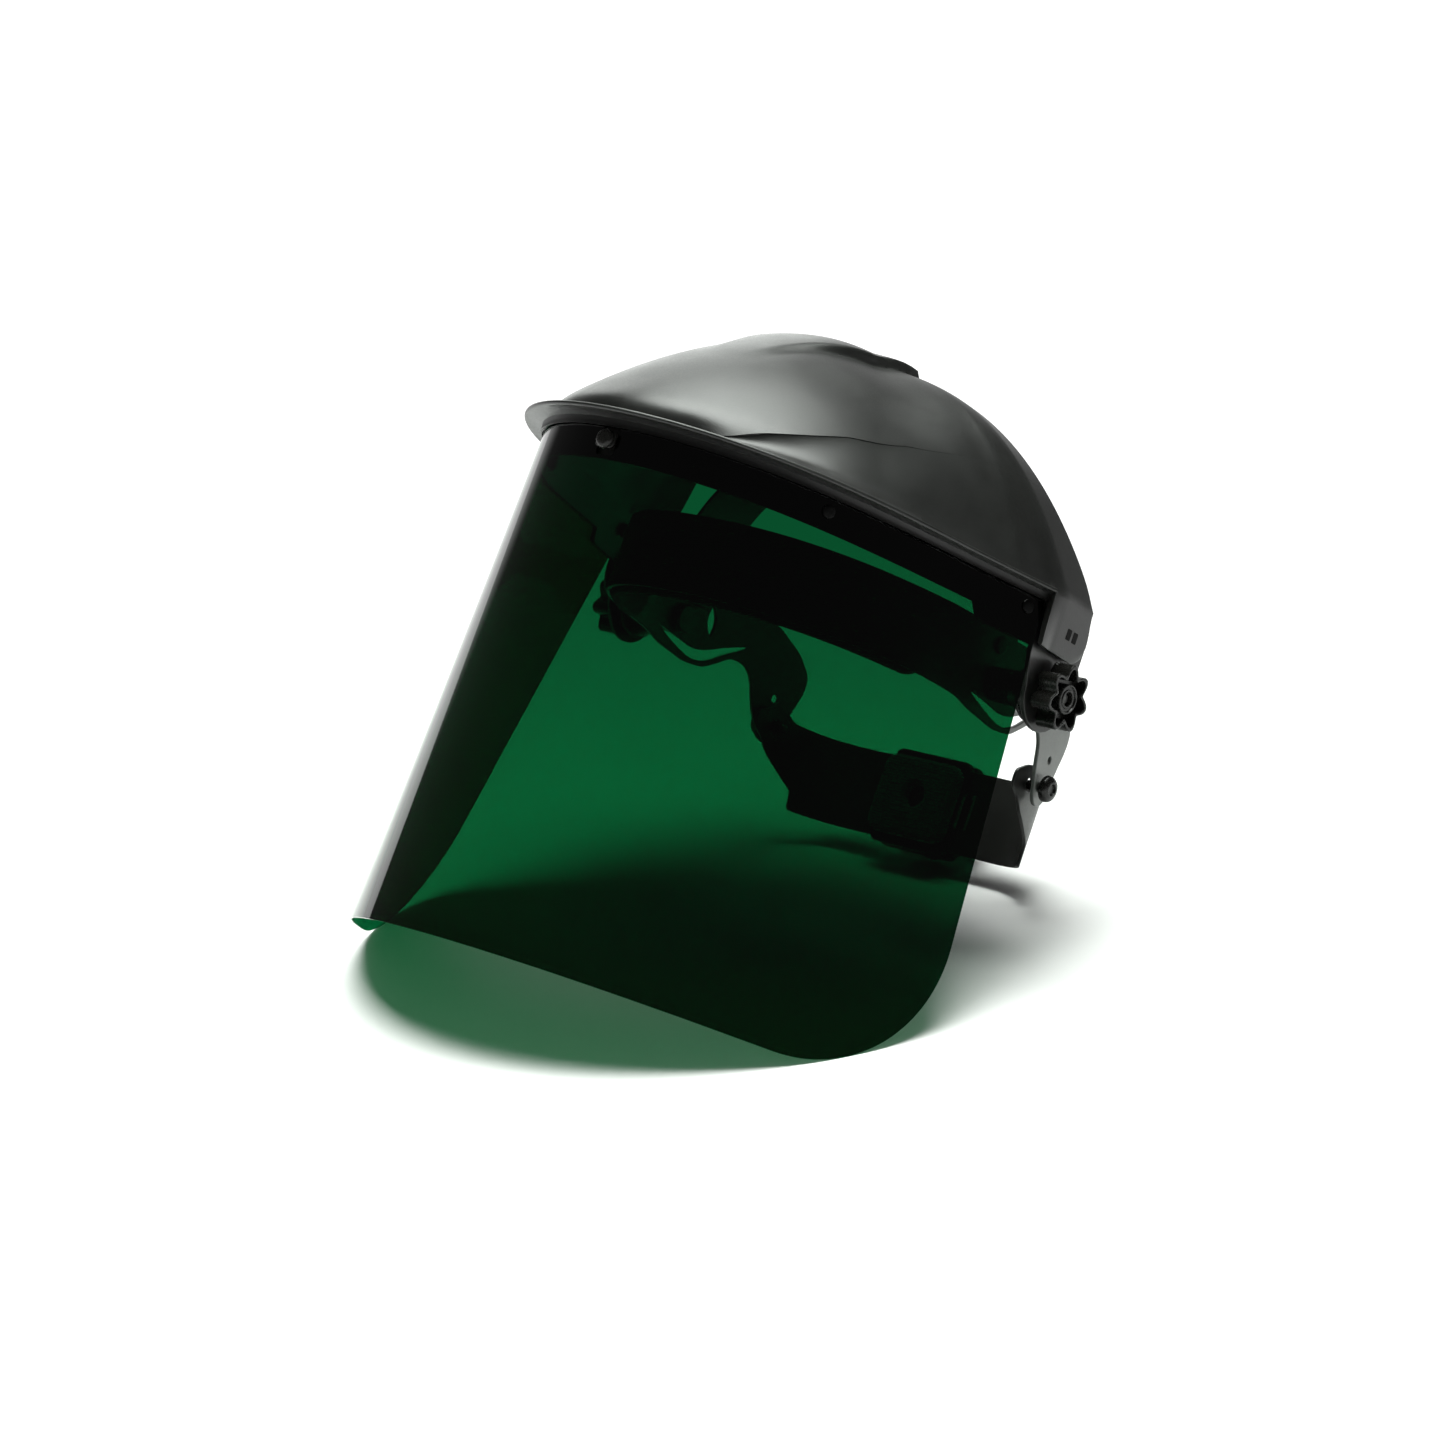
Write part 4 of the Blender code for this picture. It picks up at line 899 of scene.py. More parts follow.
def cutter(parts):
    verts, faces = parts
    mesh = bpy.data.meshes.new("cutter")
    mesh.from_pydata([to_row(v) for v in verts], [], faces)
    bm = bmesh.new()
    bm.from_mesh(mesh)
    bmesh.ops.recalc_face_normals(bm, faces=bm.faces)
    bm.to_mesh(mesh)
    bm.free()
    obj = bpy.data.objects.new("cutter", mesh)
    bpy.context.scene.collection.objects.link(obj)
    return obj


def build_window():
    corner = [SHEET_HALF - CORNER_RADIUS * (1 - math.sin(a)) for a in np.linspace(0.0, math.pi / 2, 34)]
    half = list(np.linspace(0.0, SHEET_HALF - CORNER_RADIUS, 70))[:-1] + corner
    columns = [-u for u in reversed(half[1:])] + half
    rows = 46
    edge = 0.3
    verts = []
    grid = []
    for u in columns:
        low = window_floor(u)
        line = []
        heights = [low + (WINDOW_TOP - low) * (k / rows) for k in range(rows + 1)]
        for offset in (0.5, -0.5):
            for z in heights:
                line.append(len(verts))
                verts.append(shell_offset(u, z, offset))
        grid.append(line)
    faces = []
    n = rows + 1
    for a, b in zip(grid, grid[1:]):
        for k in range(rows):
            faces.append((a[k], a[k + 1], b[k + 1], b[k]))
            faces.append((a[n + k], b[n + k], b[n + k + 1], a[n + k + 1]))
        faces.append((a[0], b[0], b[n], a[n]))
        faces.append((a[rows], a[n + rows], b[n + rows], b[rows]))
    for line in (grid[0], grid[-1]):
        for k in range(rows):
            faces.append((line[k], line[k + 1], line[n + k + 1], line[n + k]))
    obj = piece("window_sheet", (verts, faces), GREEN, "guard", ["window_lens"], 50.0, False)
    cutters = []
    for u in (-REAR_STUD_U, -SIDE_STUD_U, SIDE_STUD_U, REAR_STUD_U):
        p, out = shell_frame(u, STUD_Z)
        cutters.append(cutter(rod(p, out, 2.7, -4.0, 4.0)))
    slot = rounded_loop(0.0, STUD_Z, 8.4, 12.0, 1.5)
    cutters.append(cutter(slab(slot, [], plate_y(FRONT_Y - 3.0, 1.0), 6.0, 0.01)))
    cut(obj, cutters)
    obj.data.materials.append(GREEN_INNER)
    middle = ORIGIN + TURN @ (Vector((0.0, -20.0, 0.0)) * MM)
    upright = TURN @ Vector((0.0, 0.0, 1.0))
    for polygon in obj.data.polygons:
        away = polygon.center - middle
        away -= upright * away.dot(upright)
        polygon.material_index = 0 if polygon.normal.dot(away) > 0 else 1


def rod(point, axis, radius, low, high, count=32):
    axis = Vector(axis).normalized()
    helper = Vector((0, 0, 1)) if abs(axis.z) < 0.9 else Vector((1, 0, 0))
    side = axis.cross(helper).normalized()
    up = side.cross(axis)
    verts = []
    for h in (low, high):
        for k in range(count):
            a = 2 * math.pi * k / count
            verts.append(Vector(point) + axis * h + (side * math.cos(a) + up * math.sin(a)) * radius)
    faces = [(k, (k + 1) % count, count + (k + 1) % count, count + k) for k in range(count)]
    faces.append(tuple(reversed(range(count))))
    faces.append(tuple(range(count, 2 * count)))
    return verts, faces


def build_rail():
    half = [
        (0.0, RAIL_BOTTOM), (166.0, RAIL_BOTTOM), (169.0, -22.0), (173.0, -23.0), (197.0, -23.0), (201.0, -34.0),
    ]
    boss = [
        (PIVOT_U + 15.0 * math.cos(a), PIVOT_Z + 15.0 * math.sin(a))
        for a in np.linspace(math.pi * 1.02, math.pi * 2.0, 15)
    ]
    back = [(PIVOT_U + 15.0, -10.0), (PIVOT_U + 13.0, -3.2), (PIVOT_U - 8.0, RAIL_TOP)]
    right = half + boss + back
    outline = [(-u, v) for u, v in reversed(right)] + right[1:]
    holes = [ring(u, STUD_Z, 2.5) for u in (-REAR_STUD_U, -SIDE_STUD_U, SIDE_STUD_U, REAR_STUD_U)]
    holes.append(ring(0.0, STUD_Z, 2.9))
    for sign in (-1, 1):
        holes.append(ring(sign * PIVOT_U, PIVOT_Z, BOLT_RADIUS + 0.3))
        holes.append(rounded_loop(sign * (PIVOT_U - 2.0), -18.6, 11.0, 3.4, 1.6))
    place = lambda u, v, depth: shell_offset(u, v, RAIL_OUTER - depth)
    for sign in (-1, 1):
        holes.append(rounded_loop(sign * 42.0, -12.6, 11.0, 2.4, 0.8))
    parts = [slab(outline, holes, place, RAIL_THICK, 0.35, 3.5, 5.0)]
    for sign in (-1, 1):
        backing = lambda u, v, depth: shell_offset(u, v, RAIL_OUTER - 1.4 - depth)
        parts.append(slab(rounded_loop(sign * 42.0, -12.4, 14.0, 5.4, 1.0), [], backing, 1.6, 0.2))
    piece("rail_shell", joined(*parts), RAIL, "guard", ["window_rail"])


def build_studs():
    for name, u in (
        ("side_stud_left", SIDE_STUD_U),
        ("side_stud_right", -SIDE_STUD_U),
        ("rear_stud_left", REAR_STUD_U),
        ("rear_stud_right", -REAR_STUD_U),
    ):
        p, out = shell_frame(u, STUD_Z)
        profile = [
            (0.0, 1.7), (1.4, 1.6), (2.2, 1.35), (2.7, 0.9),
            (2.0, 0.9), (2.0, -3.8), (3.4, -3.8), (3.0, -4.9), (0.0, -4.9),
        ]
        piece(name + "_cap", lathe_at(soft_profile(profile), p, out), SLOT_SHADE_AND_STUD_BLACK, "guard", [name])


def lathe_at(profile, point, axis, count=40):
    """A turned shape on an axis through a point, with heights counted from that point."""
    axis = Vector(axis).normalized()
    helper = Vector((0, 0, 1)) if abs(axis.z) < 0.9 else Vector((1, 0, 0))
    side = axis.cross(helper).normalized()
    up = side.cross(axis)
    verts = []
    index = []
    for r, h in profile:
        here = Vector(point) + axis * h
        if r < 1e-6:
            index.append([len(verts)] * count)
            verts.append(here)
            continue
        index.append([len(verts) + k for k in range(count)])
        for k in range(count):
            a = 2 * math.pi * k / count
            verts.append(here + (side * math.cos(a) + up * math.sin(a)) * r)
    faces = []
    for p in range(len(profile)):
        q = (p + 1) % len(profile)
        if profile[p][0] < 1e-6 and profile[q][0] < 1e-6:
            continue
        for k in range(count):
            m = (k + 1) % count
            loop = [index[p][k], index[p][m], index[q][m], index[q][k]]
            faces.append(tuple(v for i, v in enumerate(loop) if v != loop[i - 1]))
    return verts, faces


def build_latch():
    head = rounded_loop(0.0, STUD_Z, 9.0, 6.6, 2.0)
    plate = slab(head, [], plate_y(FRONT_Y - 0.9, -1.0), 1.2, 0.4, 1.5)
    button = [(0.0, 4.6), (1.6, 4.5), (3.0, 4.0), (3.8, 3.0), (4.0, 1.8), (3.4, 1.6), (0.0, 1.6)]
    grip = lathe_at(soft_profile(button, 0.3), (0.0, FRONT_Y, STUD_Z), (0, -1, 0))
    shank = [(0.0, 1.2), (2.55, 1.2), (2.55, -3.3), (4.2, -3.3), (4.2, -4.6), (0.0, -4.6)]
    stem = lathe_at(soft_profile(shank), (0.0, FRONT_Y, STUD_Z), (0, -1, 0))
    piece("latch_head", joined(plate, grip, stem), BLACK, "latch", ["center_latch"])


# ---------------------------------------------------------------- pivots


def star(radius, inner, per_lobe=14):
    out = []
    count = KNOB_LOBES * per_lobe
    for k in range(count):
        a = 2 * math.pi * k / count
        wave = 0.5 + 0.5 * math.cos(KNOB_LOBES * a)
        r = inner + (radius - inner) * wave ** 0.8
        out.append((PIVOT_Y + r * math.cos(a), PIVOT_Z + r * math.sin(a)))
    return out


def build_pivots():
    for side, word in ((1, "left"), (-1, "right")):
        axis = (side, 0, 0)
        centre = (0.0, PIVOT_Y, PIVOT_Z)
        rail_out = shell_offset(PIVOT_U, PIVOT_Z, RAIL_OUTER).x
        rail_in = rail_out - RAIL_THICK
        washer_x = rail_out + GAP
        knob_x = washer_x + 1.0 + GAP
        face = knob_x + KNOB_THICK
        body = "knob_" + word
        outer = star(KNOB_RADIUS, 9.6)
        pocket = star(KNOB_RADIUS - 1.7, 7.9)
        wall = slab(outer, [pocket], plate_x(side * knob_x, side), KNOB_THICK, 0.4, 1.6)
        web = slab(star(KNOB_RADIUS - 1.2, 8.4), [ring(PIVOT_Y, PIVOT_Z, 4.3)], plate_x(side * (knob_x + 0.3), side), 4.6, 0.2, 1.6)
        hub = lathe_at(
            [
                (4.3, knob_x), (5.9, knob_x), (5.9, face - 0.6), (5.6, face - 0.3), (5.1, face - 0.3), (4.8, face - 0.9),
                (3.9, face - 0.9), (3.6, face - 0.5), (3.0, face - 0.5), (2.8, face - 0.9), (2.8, face - 2.9), (4.3, face - 2.9),
            ],
            centre, axis,
        )
        parts = joined(wall, web, hub)
        piece("tension_knob_body_" + word, parts, BLACK, body, ["tension_knob_" + word])
        insert = [(2.8, knob_x), (4.0, knob_x), (4.0, face - 3.0), (2.8, face - 3.0)]
        piece("insert_" + word, lathe_at(soft_profile(insert, 0.2), centre, axis), BRASS, body, ["knob_insert_" + word])
        washer = [(2.9, washer_x), (8.0, washer_x), (8.0, washer_x + 1.0), (2.9, washer_x + 1.0)]
        piece("washer_" + word, lathe_at(soft_profile(washer, 0.2), centre, axis), NYLON, "guard", ["friction_washer_" + word])
        end = rail_in - GAP
        start = BAND_POINTS[6][0] + BAND_THICK + GAP + 0.1
        barrel = [
            (2.9, start), (6.8, start), (7.2, start + 12.0), (BARREL_RADIUS, start + 20.0),
            (BARREL_RADIUS, end - 4.5), (BARREL_RADIUS - 0.7, end - 4.0), (BARREL_RADIUS, end - 3.5), (BARREL_RADIUS, end), (2.9, end),
        ]
        piece("barrel_" + word, lathe_at(soft_profile(barrel), centre, axis, 56), BLACK, "harness", ["pivot_barrel_" + word])
        bolt = [
            (0.0, 76.6), (5.6, 76.6), (6.2, 77.4), (6.2, 78.6), (BOLT_RADIUS, 78.6),
            (BOLT_RADIUS, face - 2.6), (BOLT_RADIUS - 0.6, face - 2.0), (0.0, face - 2.0),
        ]
        piece("bolt_" + word, lathe_at(soft_profile(bolt, 0.25), centre, axis), STEEL, "harness", ["pivot_bolt_" + word])


# ---------------------------------------------------------------- harness


def leaf(y0, z0, y1, z1, width, count=9):
    a = np.array((band_u(y0), z0))
    b = np.array((band_u(y1), z1))
    d = (b - a) / np.linalg.norm(b - a)
    n = np.array((-d[1], d[0]))
    out = []
    for k in range(count):
        t = k / count
        out.append(tuple(a + (b - a) * t + n * width / 2 * math.sin(math.pi * t)))
    for k in range(count):
        t = 1 - k / count
        out.append(tuple(a + (b - a) * t - n * width / 2 * math.sin(math.pi * t)))
    return out


def crescent(centre, width, samples=6):
    """A curved opening along a centre line of (y, z) points, narrowing to a tip at both ends."""
    _, ys, zs = smooth_path(centre, samples)
    line = [np.array((band_u(y), z)) for y, z in zip(ys, zs)]
    count = len(line) - 1
    above = []
    below = []
    for k in range(1, count):
        d = line[k + 1] - line[k - 1]
        n = np.array((-d[1], d[0])) / np.linalg.norm(d)
        half = width / 2 * math.sin(math.pi * k / count) ** 0.7
        above.append(tuple(line[k] + n * half))
        below.append(tuple(line[k] - n * half))
    return [tuple(line[0])] + below + [tuple(line[-1])] + above[::-1]


def build_headband():
    lobe = [
        (band_u(PIN_Y) + 8.0 * math.cos(a), PIN_Z + 8.0 * math.sin(a))
        for a in np.linspace(math.radians(200), math.radians(355), 14)
    ]
    lower = [(-20, BROW_BOTTOM), (0, -48.0), (10, -50.5), (30, -52.5), (42, -51.0), (50, -46.0), (55, -42.5), (60, -41.6), (66, -42.6), (70.5, -47.0), (74, -55.0)]
    upper = [(96.5, -52.0), (99.5, -42.0), (99.0, -34.5), (91, -27.0), (76, -20.0), (60, -16.5), (40, -16.0), (20, -16.5), (0, -16.0), (-14, BROW_TOP)]
    half = [(band_u(y), z) for y, z in lower] + lobe + [(band_u(y), z) for y, z in upper]
    outline = rounded_corners([(-u, v) for u, v in reversed(half)] + half, 3.0, 3)
    holes = []
    for loop in (
        ring(band_u(PIVOT_Y), PIVOT_Z, BOLT_RADIUS + 0.3),
        ring(band_u(PIN_Y), PIN_Z, 3.1),
        ring(band_u(85.5), -49.5, 1.7, 18),
        ring(band_u(STRAP_Y), STRAP_RIVET_Z, 2.1, 20),
        crescent(((7, -43.5), (20, -46.0), (33, -47.6), (42, -45.4), (50, -41.0), (63, -34.5)), 4.4),
        leaf(36, -25.0, 40, -38.0, 5.0),
    ):
        holes.append(loop)
        holes.append([(-u, v) for u, v in reversed(loop)])
    place = lambda u, v, depth: band_point(u, v, depth)
    parts = slab(outline, holes, place, BAND_THICK, 0.45, 3.0, 5.0)
    piece("headband_shell", parts, BAND, "harness", ["headband"])


def build_sweatband():
    outline = rounded_loop(0.0, (BROW_TOP + BROW_BOTTOM) / 2 - 0.9, 216.0, 33.5, 10.0, 10)
    place = lambda u, v, depth: band_point(u, v, -0.5 - depth)
    obj = piece(
        "sweatband_pad", slab(outline, [], place, 5.0, 1.8, 2.5, 3.5), CLOTH, "harness", ["sweatband"], 80.0, False
    )


def strap_point(side, level, length, v, depth):
    rise = STRAP_RISE + level
    foot = STRAP_BASE_Z - STRAP_FOOT_Z
    if length < foot:
        x, z, nx, nz = STRAP_HALF, STRAP_FOOT_Z + length, 1.0, 0.0
    else:
        a = (length - foot) / ((STRAP_HALF + rise) / 2)
        x, z = STRAP_HALF * math.cos(a), STRAP_BASE_Z + rise * math.sin(a)
        nx, nz = rise * math.cos(a), STRAP_HALF * math.sin(a)
        n = math.hypot(nx, nz)
        nx, nz = nx / n, nz / n
    return Vector((side * (x + nx * depth), STRAP_Y + v, z + nz * depth))


def build_top_straps():
    quarter = (STRAP_HALF + STRAP_RISE) / 2 * math.pi / 2
    foot = STRAP_BASE_Z - STRAP_FOOT_Z
    for side, word, level in ((1, "left", 0.0), (-1, "right", 2.5)):
        end = foot + quarter + 22.0 + level
        top = foot + (STRAP_HALF + STRAP_RISE + level) / 2 * math.pi / 2
        w = STRAP_WIDTH / 2
        outline = [(0.0, -w), (end - 6.0, -w * 0.72), (end, -w * 0.3), (end, w * 0.3), (end - 6.0, w * 0.72), (0.0, w)]
        outline = rounded_corners(outline, 4.0)
        holes = [ring(STRAP_RIVET_Z - STRAP_FOOT_Z, 0.0, 2.1, 20)]
        holes += [ring(top + d, 0.0, 2.1, 20) for d in (-16.0, -8.0, 0.0, 8.0, 16.0)]
        place = lambda u, v, depth, side=side, level=level: strap_point(side, level, u, v, depth)
        parts = slab(outline, holes, place, STRAP_THICK, 0.4, 3.0, 5.0)
        piece("crest_strap_" + word, parts, BAND, "harness", ["top_strap_" + word])
        rivet = [(0.0, 74.8), (3.6, 75.1), (3.6, 76.3), (1.8, 76.3), (1.8, 82.1), (3.6, 82.1), (3.2, 83.2), (0.0, 83.4)]
        head = lathe((soft_profile(rivet)), (0, STRAP_Y, STRAP_RIVET_Z), (side, 0, 0), 36)
        piece("rivet_" + word, head, BLACK, "harness", ["strap_rivet_" + word])
    crest = STRAP_BASE_Z + STRAP_RISE
    peg = [
        (0.0, crest - 1.6), (4.0, crest - 1.4), (4.0, crest - 0.3), (1.8, crest - 0.3),
        (1.8, crest + 4.5), (3.0, crest + 4.5), (2.4, crest + 5.6), (0.0, crest + 5.8),
    ]
    piece("crest_peg", lathe(soft_profile(peg), (0, STRAP_Y, 0), (0, 0, 1), 36), BLACK, "harness", ["top_strap_peg"])


# ---------------------------------------------------------------- nape straps and ratchet


def rack_slot(upper):
    """A slot with rack teeth along its upper or lower side, as a loop of (x, z)."""
    pitch = 2 * math.pi * GEAR_PITCH_RADIUS / GEAR_TEETH
    sign = 1.0 if upper else -1.0
    root = RATCHET_Z + sign * (GEAR_PITCH_RADIUS + 1.1)
    tip = RATCHET_Z + sign * (GEAR_PITCH_RADIUS - 0.55)
    plain = RATCHET_Z - sign * (GEAR_PITCH_RADIUS + 2.0)
    x0, x1 = -9.0, 12.0 + STRAP_TRAVEL
    loop = [(x0, plain), (x1, plain), (x1, root)]
    first = math.ceil((x0 + 1.2 - pitch / 2) / pitch)
    last = math.floor((x1 - 1.2 - pitch / 2) / pitch)
    for k in range(last, first - 1, -1):
        c = (k + 0.5) * pitch
        loop += [(c + 1.05, root), (c + 0.45, tip), (c - 0.45, tip), (c - 1.05, root)]
    loop.append((x0, root))
    return loop


def nape_point(side, u, v, depth, level):
    x, y = path_offset(NAPE_PATH, max(0.0, u), level + depth)
    return Vector((side * x, y, v))


def build_nape_straps():
    end = float(NAPE_PATH[0][-1])
    pin = nape_u(PIN_Y)
    outline = [
        (0.0, NAPE_BOTTOM), (nape_u(106.0), NAPE_BOTTOM),
        (nape_u(105.0), -83.6), (pin + 1.0, -72.5), (pin + 6.0, -67.8), (end - 0.6, -64.5), (end, -61.0),
        (end - 0.6, -57.5), (pin + 5.0, -53.6), (pin, -52.6), (pin - 5.0, -53.4), (pin - 10.0, NAPE_TOP),
        (0.0, NAPE_TOP),
    ]
    for side, word, level in ((1, "left", 0.0), (-1, "right", -1.9)):
        holes = [[(x - NAPE_START, z) for x, z in rack_slot(upper=side > 0)], ring(pin, PIN_Z, 3.0)]
        place = lambda u, v, depth, side=side, level=level: nape_point(side, u, v, depth, level)
        parts = slab(rounded_corners(outline, 2.0, 4), holes, place, NAPE_THICK, 0.3, 2.5, 4.0)
        piece("nape_arm_" + word, parts, STRAP, "strap_" + word, ["nape_strap_" + word])


def build_nape_pins():
    for side, word in ((1, "left"), (-1, "right")):
        pin = [
            (0.0, 62.6), (1.9, 62.6), (2.05, 63.4), (2.05, 75.2), (5.6, 75.2), (5.4, 77.0), (4.6, 78.0),
            (3.2, 78.6), (2.4, 78.7), (2.1, 77.6), (0.0, 77.6),
        ]
        parts = lathe(soft_profile(pin), (0, PIN_Y, PIN_Z), (side, 0, 0), 36)
        piece("pin_" + word, parts, BLACK, "harness", ["nape_pin_" + word])


def gear_loop(z):
    out = []
    for k in range(GEAR_TEETH):
        c = math.pi / 2 + 2 * math.pi * k / GEAR_TEETH
        for r, w in ((-1.0, -0.17), (0.75, -0.07), (0.75, 0.07), (-1.0, 0.17)):
            radius = GEAR_PITCH_RADIUS + r
            out.append((radius * math.cos(c + w), z + radius * math.sin(c + w)))
    return out


def build_ratchet():
    z = RATCHET_Z
    mid = (NAPE_TOP + NAPE_BOTTOM) / 2
    width = 2 * HOUSING_HALF
    height = NAPE_TOP - NAPE_BOTTOM + 5.4
    strap_in = NAPE_POINTS[0][1] - NAPE_THICK
    strap_out = NAPE_POINTS[0][1] + 1.9
    plate = rounded_loop(0.0, mid, width, height, 3.5, 8)
    cover = slab(plate, [ring(0.0, z, 2.0, 20)], plate_y(strap_in - 3.9, 1.0), 3.0, 0.6, 3.0)
    piece("cover_plate", cover, BLACK, "nape_frame", ["ratchet_cover"])
    housing = [slab(plate, [ring(0.0, z, 4.2, 28)], plate_y(strap_out + 0.5, 1.0), 3.5, 0.8, 3.0)]
    for edge in (NAPE_TOP + 1.5, NAPE_BOTTOM - 1.5):
        wall = rounded_loop(0.0, edge, width - 8.0, 2.1, 0.6, 4)
        housing.append(slab(wall, [], plate_y(strap_in - 0.6, 1.0), strap_out - strap_in + 2.1, 0.25, 3.0))
    piece("housing_shell", joined(*housing), BLACK, "nape_frame", ["ratchet_housing"])
    teeth = slab(gear_loop(z), [], plate_y(strap_in - 0.5, 1.0), strap_out - strap_in + 0.7, 0.12, 3.0)
    shaft = [(0.0, strap_in + 1.0), (3.7, strap_in + 1.0), (3.7, strap_out + 6.1), (0.0, strap_out + 6.1)]
    parts = joined(teeth, lathe(soft_profile(shaft, 0.2), (0, 0, z), (0, 1, 0), 36))
    piece("pinion_gear", parts, NYLON, "dial", ["ratchet_pinion"])
    loop = []
    for k in range(96):
        a = 2 * math.pi * k / 96
        r = 12.0 + 1.2 * math.cos(8 * a)
        loop.append((r * math.cos(a), z + r * math.sin(a)))
    spring = slab(loop, [ring(0.0, z, 9.0, 48)], plate_y(strap_out + 4.3, 1.0), 1.3, 0.2, 3.0)
    piece("spring_ring", spring, STEEL, "nape_frame", ["detent_spring"])
    flutes = 18
    rim = []
    for k in range(flutes * 10):
        a = 2 * math.pi * k / (flutes * 10)
        wave = 0.5 + 0.5 * math.cos(flutes * a)
        r = RATCHET_KNOB_RADIUS - 1.1 * wave ** 2.5
        rim.append((r * math.cos(a), z + r * math.sin(a)))
    face = strap_out + 15.4
    knob = slab(rim, [ring(0.0, z, 16.5, 60)], plate_y(strap_out + 6.4, 1.0), 9.0, 0.8, 3.0)
    disc = lathe(
        [(0.0, strap_out + 6.5), (17.0, strap_out + 6.5), (17.0, face - 1.4), (16.0, face - 1.8), (8.0, face - 1.6), (0.0, face - 1.4)],
        (0, 0, z), (0, 1, 0), 60,
    )
    piece("knob_grip", joined(knob, disc), BLACK, "dial", ["ratchet_knob"])
    screw = [
        (0.0, strap_in - 5.3), (0.7, strap_in - 5.3), (1.0, strap_in - 6.1), (3.2, strap_in - 5.9), (3.2, strap_in - 4.2),
        (1.6, strap_in - 4.2), (1.6, strap_in - 0.8), (0.0, strap_in - 0.8),
    ]
    piece("screw_head", lathe(soft_profile(screw, 0.2), (0, 0, z), (0, 1, 0), 36), STEEL, "nape_frame", ["ratchet_screw"])
    outline = rounded_loop(0.0, mid, width - 1.0, height - 7.0, 6.0, 10)
    pad = slab(outline, [ring(0.0, z, 5.0)], plate_y(strap_in - 10.5, 1.0), 6.2, 2.0, 2.0, 3.0)
    obj = piece("nape_cushion", pad, CLOTH, "nape_frame", ["nape_pad"], 80.0, False)


# ---------------------------------------------------------------- studio


def build_floor():
    verts = []
    for r in (0.0, 0.2, 0.4, 0.6, 0.8, 1.0, 1.4, 2.0, 3.0, 5.0, 12.0):
        for k in range(64):
            a = 2 * math.pi * k / 64
            verts.append((r * math.cos(a), r * math.sin(a), -0.0002))
    faces = []
    for j in range(10):
        for k in range(64):
            m = (k + 1) % 64
            faces.append((j * 64 + k, (j + 1) * 64 + k, (j + 1) * 64 + m, j * 64 + m))
    mesh = bpy.data.meshes.new("studio_floor")
    mesh.from_pydata(verts, [], faces)
    bm = bmesh.new()
    bm.from_mesh(mesh)
    bmesh.ops.remove_doubles(bm, verts=bm.verts, dist=1e-6)
    bmesh.ops.recalc_face_normals(bm, faces=bm.faces)
    bm.to_mesh(mesh)
    bm.free()
    n = Nodes("studio_paper")
    n.shader.inputs["Roughness"].default_value = 1.0
    n.shader.inputs["Specular IOR Level"].default_value = 0.0
    n.link(n.ramp(n.noise(40.0), (0.795, 0.795, 0.795), (0.805, 0.805, 0.805)), n.shader.inputs["Base Color"])
    glow = n.add("ShaderNodeEmission")
    glow.inputs["Color"].default_value = (1.0, 1.0, 1.0, 1.0)
    glow.inputs["Strength"].default_value = 1.3
    gradient = n.add("ShaderNodeVectorMath", operation="LENGTH")
    n.link(n.coords, gradient.inputs[0])
    share = n.ramp(gradient.outputs["Value"], 0.0, 1.0, FLOOR_FADE)
    mix = n.add("ShaderNodeMixShader")
    n.link(share, mix.inputs["Fac"])
    n.link(n.shader.outputs[0], mix.inputs[1])
    n.link(glow.outputs[0], mix.inputs[2])
    n.link(mix.outputs[0], n.out.inputs["Surface"])
    mesh.materials.append(n.mat)
    floor = bpy.data.objects.new("studio_floor", mesh)
    bpy.context.scene.collection.objects.link(floor)


FLOOR_FADE = (0.3, 0.75)
BACK_GLOW = 0.8
FRONT_GLOW = 0.065
FLOOR_BOX = {"at": (-0.02, -0.04, 1.25), "size": (0.9, 0.9), "watts": 38.0}
SHEEN_BOX = {"at": (-0.1, 0.32, 1.25), "size": (1.05, 0.95), "watts": 33.0}
BOX_COLOUR = (0.95, 1.0, 0.955)
BACK_LEFT = {"at": (-1.05, 0.92, 0.55), "size": (0.8, 0.9), "watts": 4.0}


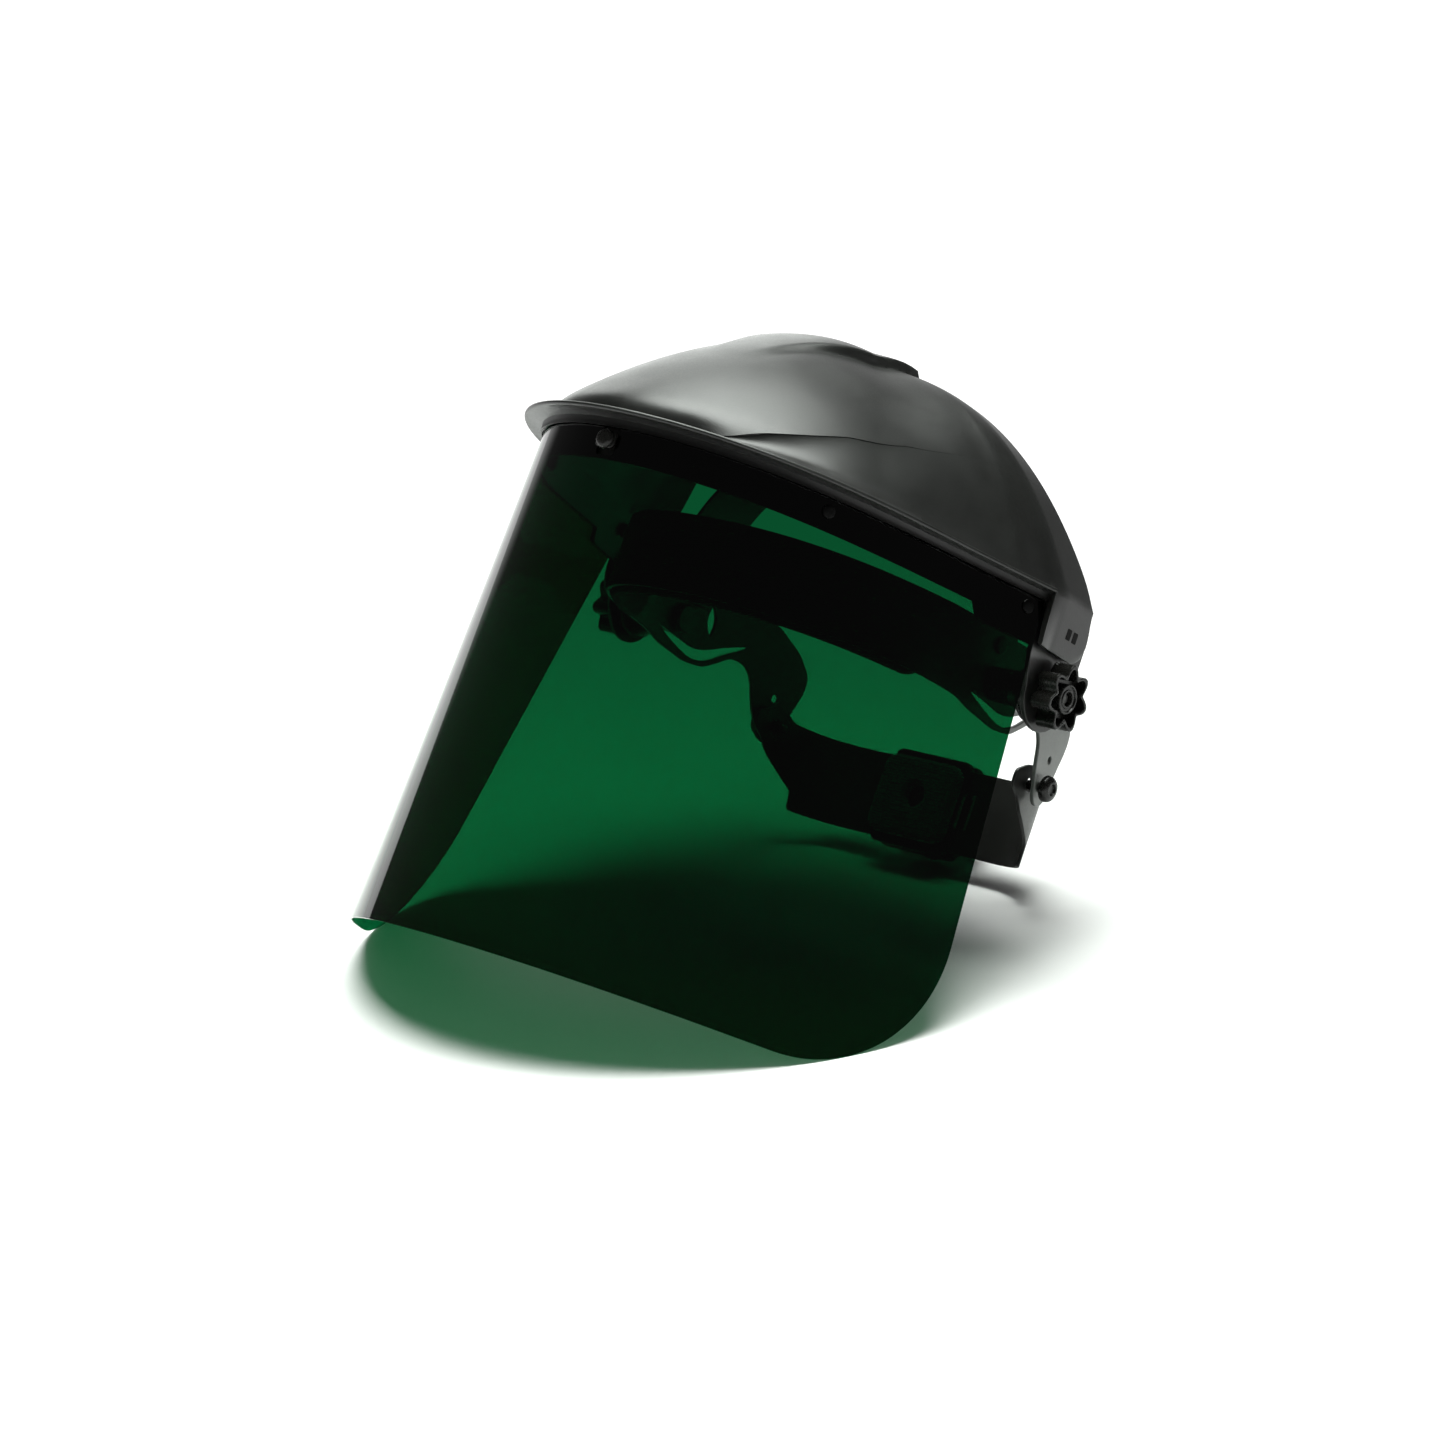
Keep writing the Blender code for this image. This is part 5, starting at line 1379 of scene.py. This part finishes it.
def build_world():
    world = bpy.data.worlds.new("studio")
    bpy.context.scene.world = world
    world.use_nodes = True
    tree = world.node_tree
    tree.nodes.clear()
    out = tree.nodes.new("ShaderNodeOutputWorld")
    seen = tree.nodes.new("ShaderNodeBackground")
    seen.inputs["Color"].default_value = (1.0, 1.0, 1.0, 1.0)
    seen.inputs["Strength"].default_value = 1.3
    felt = tree.nodes.new("ShaderNodeBackground")
    coords = tree.nodes.new("ShaderNodeTexCoord")
    dot = tree.nodes.new("ShaderNodeVectorMath")
    dot.operation = "DOT_PRODUCT"
    dot.inputs[1].default_value = (-0.7, 0.71, 0.05)
    tree.links.new(coords.outputs["Generated"], dot.inputs[0])
    scale = tree.nodes.new("ShaderNodeMapRange")
    scale.interpolation_type = "SMOOTHSTEP"
    scale.inputs["From Min"].default_value = 0.8
    scale.inputs["From Max"].default_value = 0.97
    scale.inputs["To Min"].default_value = FRONT_GLOW
    scale.inputs["To Max"].default_value = BACK_GLOW
    tree.links.new(dot.outputs["Value"], scale.inputs["Value"])
    felt.inputs["Color"].default_value = (1.0, 1.0, 1.0, 1.0)
    tree.links.new(scale.outputs["Result"], felt.inputs["Strength"])
    path = tree.nodes.new("ShaderNodeLightPath")
    mix = tree.nodes.new("ShaderNodeMixShader")
    tree.links.new(path.outputs["Is Camera Ray"], mix.inputs["Fac"])
    tree.links.new(felt.outputs[0], mix.inputs[1])
    tree.links.new(seen.outputs[0], mix.inputs[2])
    tree.links.new(mix.outputs[0], out.inputs["Surface"])


def build_lights():
    boxes = (("floor_softbox", FLOOR_BOX), ("sheen_softbox", SHEEN_BOX), ("back_left_softbox", BACK_LEFT))
    for name, box in boxes:
        light = bpy.data.lights.new(name, "AREA")
        light.shape = "RECTANGLE"
        light.size, light.size_y = box["size"]
        light.energy = box["watts"]
        light.color = BOX_COLOUR
        obj = bpy.data.objects.new(name, light)
        obj.location = box["at"]
        obj.rotation_euler = (Vector((0.0, 0.0, 0.08)) - obj.location).to_track_quat("-Z", "Y").to_euler()
        obj.visible_camera = False
        obj.visible_glossy = box is not FLOOR_BOX
        obj.visible_diffuse = box is not SHEEN_BOX
        bpy.context.scene.collection.objects.link(obj)


def build_camera():
    data = bpy.data.cameras.new("photo_camera")
    data.lens = 98.03
    data.sensor_width = 36.0
    camera = bpy.data.objects.new("photo_camera", data)
    camera.location = (0.967955, -1.132264, 0.510907)
    camera.rotation_euler = (math.radians(90 - 15.697), 0.0, math.radians(40.523))
    bpy.context.scene.collection.objects.link(camera)
    bpy.context.scene.camera = camera


build_crown()
build_window()
build_rail()
build_studs()
build_latch()
build_pivots()
build_headband()
build_sweatband()
build_top_straps()
build_nape_straps()
build_nape_pins()
build_ratchet()
build_floor()
build_world()
build_lights()
build_camera()
bpy.context.scene.view_settings.view_transform = "Standard"
